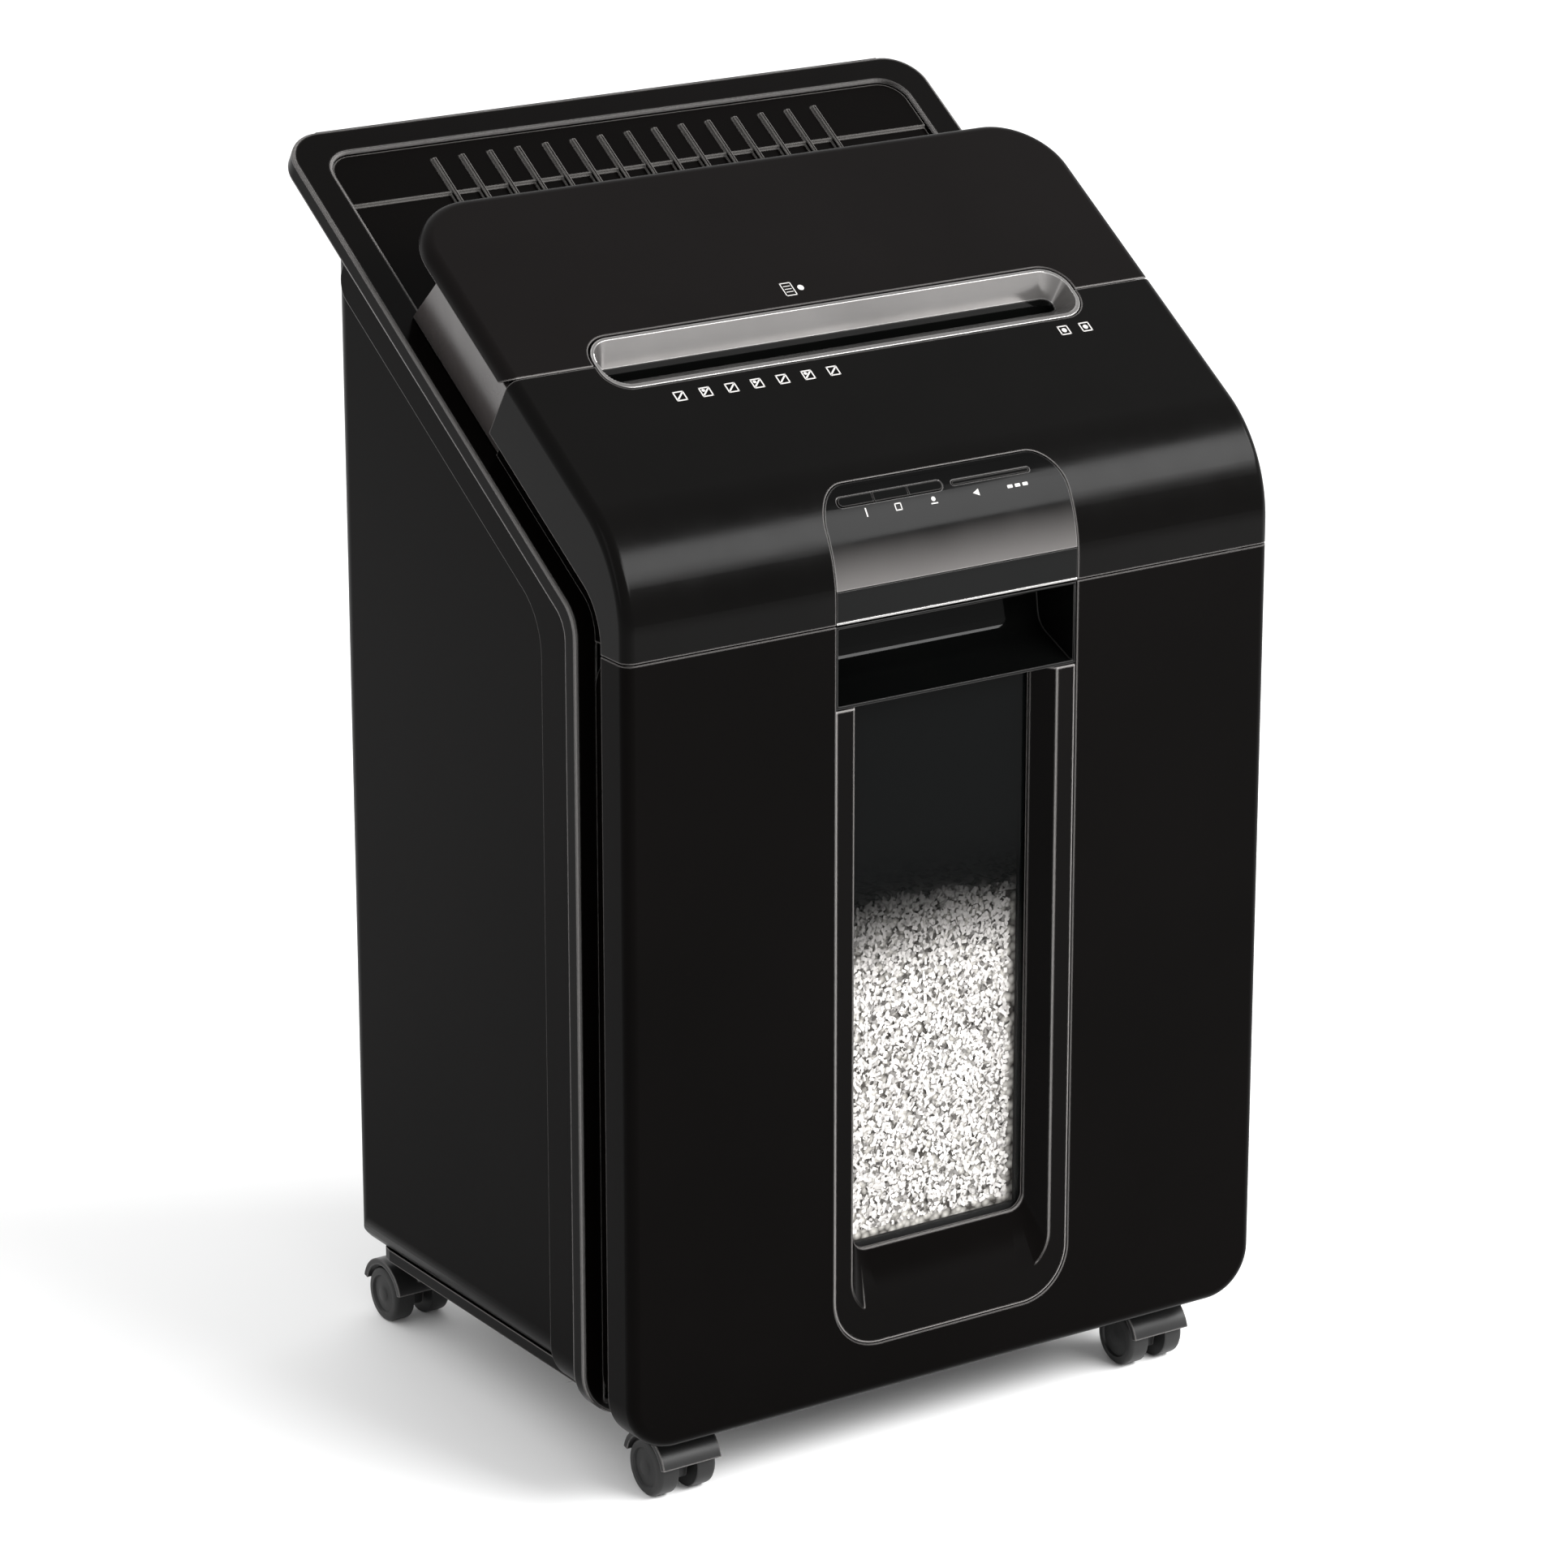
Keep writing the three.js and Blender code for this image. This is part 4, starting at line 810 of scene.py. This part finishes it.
def control_panel():
    panel = prism("x", casing_strip(0, 90, 90, HEAD_SEAM + GAP, 60), -100, 100)
    minus(panel, prism("x", casing_strip(WALL, 100, 100, HEAD_SEAM - 10, 80), -120, 120))
    common(panel, prism("y", panel_outline(GAP), -5, 60))
    for (x0, x1), half in ((PILL, PILL_HALF), (STRIP, STRIP_HALF)):
        hole = prism("z", rectangle(x0, x1, -half, half, half * 0.95, 8), -20, 10)
        minus(panel, moved(hole, BUTTON_ROW))
    lip = common(copied(panel), box(-100, 100, -5, 60, 0, HEAD_SEAM + 1.2))
    foot = common(copied(panel), box(-100, 100, -5, 60, HEAD_SEAM + 1.2, HEAD_SEAM + 14))
    minus(panel, box(-100, 100, -5, 60, 0, HEAD_SEAM + 14.2))
    finish(panel, "panel_face", "cabinet", PANEL, ["control_panel"], 0.3)
    finish(foot, "panel_foot", "cabinet", GLOSS, (), 0.3)
    finish(lip, "panel_lip", "cabinet", TRIM, (), 0.2)


def buttons():
    names = ("reverse", "power", "forward")
    width = (PILL[1] - PILL[0] - 0.4) / len(names)
    for index, name in enumerate(names):
        x0 = PILL[0] + 0.35 + index * width
        half = PILL_HALF - 0.25
        left = 1.9 if index == 0 else 0
        right = 1.9 if index == len(names) - 1 else 0
        outline = rectangle(x0, x0 + width - 0.3, -half, half, (left, right, right, left), 8)
        key = moved(prism("z", outline, -5, 0.5), BUTTON_ROW)
        node = f"button_{name}"
        finish(key, f"key_{name}", f"{name}_button", GLOSS, [node], 0.25)


# ---------------------------------------------------------------- pull-out bin


def bin_front():
    top = HEAD_SEAM - GAP

    def face(inset_by, upper, radius):
        half = SHELL_HALF - inset_by
        corners = (radius, radius, 0, 0)
        return rectangle(-half, half, SHELL_BOTTOM + inset_by, upper, corners, 16)

    front = prism("y", face(0, HEAD_SEAM + 60, CORNER_ROUND), 0, 80, EDGE_ROUND)
    common(front, box(-200, 200, -1, SHELL_DEPTH, 0, top))
    hollow = face(WALL, top - WALL, CORNER_ROUND - WALL)
    minus(front, prism("y", hollow, WALL, SHELL_DEPTH - WALL))
    plus(front, prism("y", rectangle(-152, 152, 41, 371, 16), SHELL_DEPTH - 2, RIM_FRONT - 0.4))
    minus(front, prism("y", rectangle(-148, 148, 45, 367, 12), 10, RIM_FRONT - 3.4))
    minus(front, box(-TUB_HALF - 1, TUB_HALF + 1, 20, 60, TUB_BOTTOM - 1, TUB_TOP + 1.5))
    channel = rectangle(-CHANNEL_HALF, CHANNEL_HALF, CHANNEL_BOTTOM, 400, (23, 23, 0, 0), 14)
    minus(front, prism("y", channel, -5, SHELL_DEPTH - 3.4))
    minus(front, box(-CHANNEL_HALF, CHANNEL_HALF, -5, RIM_FRONT - 3.6, HANDLE_BOTTOM, 400))
    finish(front, "bin_face", "bin", BODY, ["bin_front"])


def window_frame():
    half = CHANNEL_HALF - GAP
    low, high = CHANNEL_BOTTOM + GAP, HANDLE_BOTTOM - GAP
    block = prism("y", rectangle(-half, half, low, high, (22.7, 22.7, 0, 0), 14), 0.6, 12.5)

    def ring(width, lower, radius, y):
        corners = (radius, radius, 0, 0)
        outline = rectangle(-width, width, lower, HANDLE_BOTTOM + 20, corners, 12)
        return [(point.x, y, point.y) for point in outline]

    funnel = [ring(WINDOW_HALF, WINDOW_BOTTOM, 7, 10.5), ring(51, 68, 17, 0)]
    minus(block, rings_solid(funnel))
    opening = rectangle(
        -WINDOW_HALF, WINDOW_HALF, WINDOW_BOTTOM, HANDLE_BOTTOM + 20, (7, 7, 0, 0), 12
    )
    minus(block, prism("y", opening, 5, 20))
    finish(block, "window_surround", "bin", SURROUND, ["window_frame"], 0.35, 25)


def bin_handle():
    half = CHANNEL_HALF - GAP
    low, high = HANDLE_BOTTOM + GAP, HEAD_SEAM - 0.7
    scoop = rounded(
        [
            (-5, low + 1.4),
            (3, low + 1.4),
            (25, low + 11, 10),
            (28, high - 1.2, 4),
            (-5, high - 1.2),
        ],
        12,
    )
    block = box(-half, half, 0.6, 31, low, high)
    minus(block, prism("x", scoop, -half + 1.2, half - 1.2))
    finish(block, "handle_pocket", "bin", GLOSS, ["bin_handle"], 0.35)


def heap_height(x, y):
    """Height of the heap's loose surface, in millimetres."""
    mound = 248 - 14 * (x / 124) ** 2 - 3 * math.sin(x / 40) - 6 * ((y - 124) / 110) ** 2
    return mound + 4 * noise.noise(Vector((x / 22, y / 22, 0.3)))


def chip(vertices, faces, centre, size, turn):
    """One bent scrap: two quads that share a fold."""
    length, width = size
    fold = random.uniform(-0.35, 0.35) * width
    shape = (
        (-length / 2, -width / 2, 0),
        (-length / 2, width / 2, 0),
        (0, width / 2, fold),
        (0, -width / 2, fold),
        (length / 2, width / 2, 0),
        (length / 2, -width / 2, 0),
    )
    first = len(vertices)
    vertices.extend(centre + turn @ Vector(point) for point in shape)
    faces.append((first, first + 1, first + 2, first + 3))
    faces.append((first + 3, first + 2, first + 4, first + 5))


def loose_turn(base, tumble):
    spin = Matrix.Rotation(random.uniform(0, 2 * math.pi), 3, "Z")
    lean = Matrix.Rotation(random.uniform(-tumble, tumble), 3, "X")
    sway = Matrix.Rotation(random.uniform(-tumble, tumble), 3, "Y")
    return base @ sway @ lean @ spin


def shredded_paper():
    low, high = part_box("shredded_paper")
    x0, x1 = low.x / MM + 1.2, high.x / MM - 1.2
    y0, y1 = low.y / MM - FRONT + 1.5, high.y / MM - FRONT - 1.5
    z0 = low.z / MM
    columns, rows = 70, 60
    top, bottom = [], []
    for row in range(rows + 1):
        for column in range(columns + 1):
            x = x0 + (x1 - x0) * column / columns
            y = y0 + (y1 - y0) * row / rows
            ripple = 1.5 * noise.noise(Vector((x / 5, y / 5, 7.7)))
            top.append((x, y, min(heap_height(x, y) + ripple - 3, high.z / MM - 1)))
            bottom.append((x, y, z0))
    count = len(top)
    faces = []
    wide = columns + 1
    for row in range(rows):
        for column in range(columns):
            a = row * wide + column
            quad = (a, a + 1, a + 1 + wide, a + wide)
            faces.append(quad)
            faces.append(tuple(v + count for v in reversed(quad)))
    for column in range(columns):
        a, b = column, rows * wide + column
        faces.append((a + count, a + 1 + count, a + 1, a))
        faces.append((b, b + 1, b + 1 + count, b + count))
    for row in range(rows):
        a, b = row * wide, row * wide + columns
        faces.append((a, a + wide, a + wide + count, a + count))
        faces.append((b + count, b + wide + count, b + wide, b))
    heap = new_solid(top + bottom, faces)
    finish(heap, "paper_heap", "bin", CORE, ["shredded_paper"], 0)

    window_chips, top_chips = 11500, 9000
    pane_edge = 42.5 - 2.4
    random.seed(11)
    vertices, faces = [], []
    upright = Matrix.Rotation(math.pi / 2, 3, "X")
    level = Matrix.Identity(3)
    for _ in range(window_chips):
        x = random.uniform(-WINDOW_HALF - 1, WINDOW_HALF + 1)
        z = random.uniform(WINDOW_BOTTOM - 4, heap_height(x, y0) + 1)
        size = (random.uniform(1.7, 3.2), random.uniform(1.1, 1.8))
        if abs(x) > pane_edge or z < 100:  # kept behind the frame round the pane
            depth = y0 + 0.6
        else:
            depth = y0 - random.uniform(-0.6, 1) * 1.4
        chip(vertices, faces, Vector((x, depth + 0.4, z)), size, loose_turn(upright, 0.35))
    for _ in range(top_chips):
        x = random.uniform(x0 + 2, x1 - 2)
        y = random.uniform(y0 + 2, y1 - 2)
        size = (random.uniform(3.0, 6.0), random.uniform(1.8, 3.0))
        z = min(heap_height(x, y) - 3 + random.uniform(-0.4, 1.8), high.z / MM - 1.5)
        chip(vertices, faces, Vector((x, y, z)), size, loose_turn(level, 0.5))
    mesh = bpy.data.meshes.new("paper_chips")
    mesh.from_pydata([tuple(v) for v in vertices], [], faces)
    chips = bpy.data.objects.new("paper_chips", mesh)
    bpy.context.scene.collection.objects.link(chips)
    moved(chips, TO_ROW)
    mesh.materials.append(CHIPS)
    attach(chips, "bin")


# ---------------------------------------------------------------- casters


def lathe(profile, centre, sides=48):
    """Body of revolution about x through (y, z); profile points are (radius, x)."""
    rings = []
    for side in range(sides):
        turn = 2 * math.pi * side / sides
        rings.append((math.cos(turn), math.sin(turn)))
    vertices, faces = [], []
    levels = [(r, x) for r, x in profile if r > 0]
    for r, x in levels:
        for c, s in rings:
            vertices.append((x, centre[0] + r * c, centre[1] + r * s))
    for level in range(len(levels) - 1):
        for side in range(sides):
            after = (side + 1) % sides
            a, b = level * sides, (level + 1) * sides
            faces.append((a + side, a + after, b + after, b + side))
    faces.append(tuple(range(sides))[::-1])
    faces.append(tuple((len(levels) - 1) * sides + side for side in range(sides)))
    return new_solid(vertices, faces)


def caster(name, x, pivot, direction):
    axle = (pivot + direction * CASTER_TRAIL, WHEEL_RADIUS)

    def at(offset, z):
        return (pivot + direction * offset, z)

    web = prism(
        "x",
        rounded(
            [
                at(-9, 31),
                at(20, 29),
                at(CASTER_TRAIL + 6.5, 12.5),
                (*at(CASTER_TRAIL + 5, 6), 2),
                (*at(CASTER_TRAIL - 5, 6), 2),
                at(CASTER_TRAIL - 7, 14),
            ],
            5,
        ),
        x - 3.5,
        x + 3.5,
    )

    def arc(radius):
        points = []
        for step in range(25):
            angle = math.pi * (0.08 + 0.84 * step / 24)
            point = Vector((radius * math.cos(angle), radius * math.sin(angle)))
            points.append(point + Vector(axle))
        return points

    hood = prism("x", arc(16.5) + arc(13.7)[::-1], x - 14.3, x + 14.3)
    plus(web, hood, prism("z", circle(x, pivot, 11, 40), 29.5, 34))
    plus(web, prism("z", circle(x, pivot, 5, 32), 29, 39))
    minus(web, rod(x - 20, x + 20, axle, 3, 24))
    finish(
        web, f"caster_hood_{name}", f"swivel_{name}", CASTER,
        [f"caster_body_{name}"], 0.35, 40,
    )
    half = [
        (0.01, x - 14),
        (3.2, x - 14),
        (3.8, x - 13.5),
        (8.2, x - 13.2),
        (8.8, x - 14),
        (10.5, x - 14),
        (11.6, x - 13.7),
        (12.3, x - 13),
        (WHEEL_RADIUS, x - 12),
        (WHEEL_RADIUS, x - 5.2),
        (12.1, x - 4.6),
        (2.4, x - 4.6),
    ]
    other = [(radius, 2 * x - along) for radius, along in reversed(half)]
    wheels = lathe(half + other, axle)
    finish(
        wheels, f"caster_discs_{name}", f"wheels_{name}", WHEEL,
        [f"caster_wheels_{name}"], 0, 40,
    )


def casters():
    for where, direction in (("front", -1), ("rear", 1)):
        for hand, side in SIDES:
            name = f"{where}_{hand}"
            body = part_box(f"caster_body_{name}")
            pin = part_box(f"caster_wheels_{name}")
            axle = (pin[0].y + pin[1].y) / 2 / MM - FRONT
            x = (body[0].x + body[1].x) / 2 / MM
            caster(name, x, axle - direction * CASTER_TRAIL, direction)


# ---------------------------------------------------------------- printed marks


def stroke(points, width, low=0.02, high=0.07):
    """Thin bar between two points, as printed on a surface."""
    a, b = Vector(points[0]), Vector(points[1])
    along = (b - a).normalized() * width / 2
    across = Vector((-along.y, along.x))
    corners = [a - along - across, b + along - across, b + along + across, a - along + across]
    return prism("z", corners, low, high)


def patch(outline, low=0.02, high=0.07):
    return prism("z", outline, low, high)


def joined(solids, matrix):
    whole = bmesh.new()
    for solid in solids:
        whole.from_mesh(solid.data)
        bpy.data.objects.remove(solid)
    mesh = bpy.data.meshes.new("marks")
    whole.to_mesh(mesh)
    whole.free()
    made = bpy.data.objects.new("marks", mesh)
    bpy.context.scene.collection.objects.link(made)
    return moved(made, matrix)


def frame_mark(x, y, half, width=0.35):
    """Small open square."""
    low, high = y - half, y + half
    corners = [(x - half, low), (x + half, low), (x + half, high), (x - half, high)]
    return [stroke((a, b), width) for a, b in zip(corners, corners[1:] + corners[:1])]


def marks():
    row = [stroke(((-39, -1.6), (-39, 1.6)), 0.6)]
    row += frame_mark(-23.4, 0, 1.4, 0.45)
    row += [patch(circle(-6, 0.6, 1.0, 16)), stroke(((-7.4, -1.3), (-4.6, -1.3)), 0.5)]
    row += [patch([Vector(p) for p in ((16.4, -1.5), (16.4, 1.5), (13.4, 0))])]
    row += [patch(rectangle(x, x + 2.6, -0.7, 0.7, 0.3, 3)) for x in (30.6, 34.4, 38.2)]
    finish(joined(row, MARK_ROW), "panel_marks", "cabinet", MARK, edge=0)

    row = []
    for index in range(7):
        x = -91 + index * 12.4
        row += frame_mark(x, -22.6, 2.3, 0.6)
        row.append(stroke(((x - 1.5, -24), (x + 1.5, -21.2)), 0.7))
        if index % 2:
            row.append(patch(circle(x - 0.8, -21.6, 0.8, 12)))
    for x in (101, 112):
        row += frame_mark(x, -21.5, 2.3, 0.6)
        row.append(patch(circle(x, -21.5, 1.2, 14)))
    finish(joined(row, SLOPE_PLACE), "slot_marks", "cabinet", MARK, edge=0)

    sides = (
        ((-15, 21), (-15, 28)),
        ((-15, 28), (-10, 28)),
        ((-10, 28), (-10, 21)),
        ((-15, 21), (-10, 21)),
    )
    sheet = [stroke(pair, 0.45) for pair in sides]
    sheet += [stroke(((-14, y), (-11, y)), 0.35) for y in (23, 24.6, 26.2)]
    sheet.append(patch(circle(-6.4, 24.4, 1.5, 16)))
    finish(joined(sheet, SLOPE_PLACE), "lid_mark", "lid", MARK, edge=0)


# ---------------------------------------------------------------- CAD nodes that stay

KEPT = (
    (CASING, 0.3, ("rear_panel", "base_plate")),
    (LID, 0.3, ("lid_liner",)),
    (GLOSS, 0.0, ("indicator_strip",)),
    (PANE, 0.0, ("window_pane",)),
    (INNER, 0.25, (
        "power_inlet", "power_rocker", "bin_tub", "stripper_comb_front", "stripper_comb_rear",
        "chassis_plate", "interlock_switch", "pressure_plate", "cooling_fan",
    )),
    (GEAR, 0.0, ("reduction_gear", "feed_idler_gear", "feed_roller")),
    (MARKER, 0.2, ("interlock_plunger",)),
    (BOARD, 0.0, ("control_board",)),
    (STEEL, 0.0, (
        "side_plate_left", "side_plate_right", "tie_rod", "motor_bracket", "motor_shaft",
        "cutter_front", "cutter_rear", "cutter_gear_front", "cutter_gear_rear",
        "hinge_arm_left", "hinge_arm_right",
    )),
    (BEARING, 0.0, ("bearing_plate_left", "bearing_plate_right")),
    (MOTOR, 0.0, ("motor_can",)),
    (RUBBER, 0.0, ("feed_tyre_left", "feed_tyre_right")),
)


def dress_kept_nodes():
    for material, edge, names in KEPT:
        for name in names:
            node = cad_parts[name]
            node.data.materials.clear()
            node.data.materials.append(material)
            if edge:
                soften(node, edge, 40, 2)


# ---------------------------------------------------------------- studio


def studio():
    world = bpy.data.worlds.new("studio")
    world.use_nodes = True
    world.node_tree.nodes["Background"].inputs["Color"].default_value = (1, 1, 1, 1)
    world.node_tree.nodes["Background"].inputs["Strength"].default_value = 1.2
    bpy.context.scene.world = world
    bpy.context.scene.view_settings.view_transform = "Standard"

    reach = 9000
    floor = prism("z", rectangle(-reach, reach, -reach, reach), -20, 0)
    moved(floor, Matrix.Scale(MM, 4))
    floor.name = "floor"
    pale = Nodes("pale floor", (0.9, 0.9, 0.9), 0.6, specular=0.0)
    pale.vary_color(pale.noise(0.6), (0.89, 0.89, 0.89), (0.91, 0.91, 0.91))
    floor.data.materials.append(pale.material)

    def panel(name, toward, distance, width, height, power):
        """Soft box that lights the part from a direction."""
        data = bpy.data.lights.new(name, "AREA")
        data.shape = "RECTANGLE"
        data.size, data.size_y = width, height
        data.energy = power
        light = bpy.data.objects.new(name, data)
        centre = Vector((0, 0, 0.38))
        light.location = centre + Vector(toward).normalized() * distance
        light.rotation_euler = (centre - light.location).to_track_quat("-Z", "Y").to_euler()
        bpy.context.scene.collection.objects.link(light)

    panel("bend light", (0.50, -0.68, 0.53), 2.6, 2.6, 0.9, 150)
    panel("left light", (-1.0, -0.15, 0.35), 2.4, 0.5, 1.6, 4)


def camera():
    data = bpy.data.cameras.new("camera")
    data.sensor_width = 36
    data.lens = 135.95
    view = bpy.data.objects.new("camera", data)
    place = Vector((-1333.8, -1883.5 + FRONT, 1063.9)) * MM
    azimuth, elevation = math.radians(-33.54), math.radians(18.4)
    turn = Matrix.Rotation(azimuth, 4, "Z") @ Matrix.Rotation(math.pi / 2 - elevation, 4, "X")
    view.matrix_world = Matrix.Translation(place) @ turn
    bpy.context.scene.collection.objects.link(view)
    bpy.context.scene.camera = view


camera()
studio()
top_casing()
head_collar()
body_frame()
tray_floor()
tray_cheeks()
cabinet_shell()
feed_lid()
throat_bezel()
control_panel()
buttons()
bin_front()
window_frame()
bin_handle()
shredded_paper()
casters()
marks()
dress_kept_nodes()
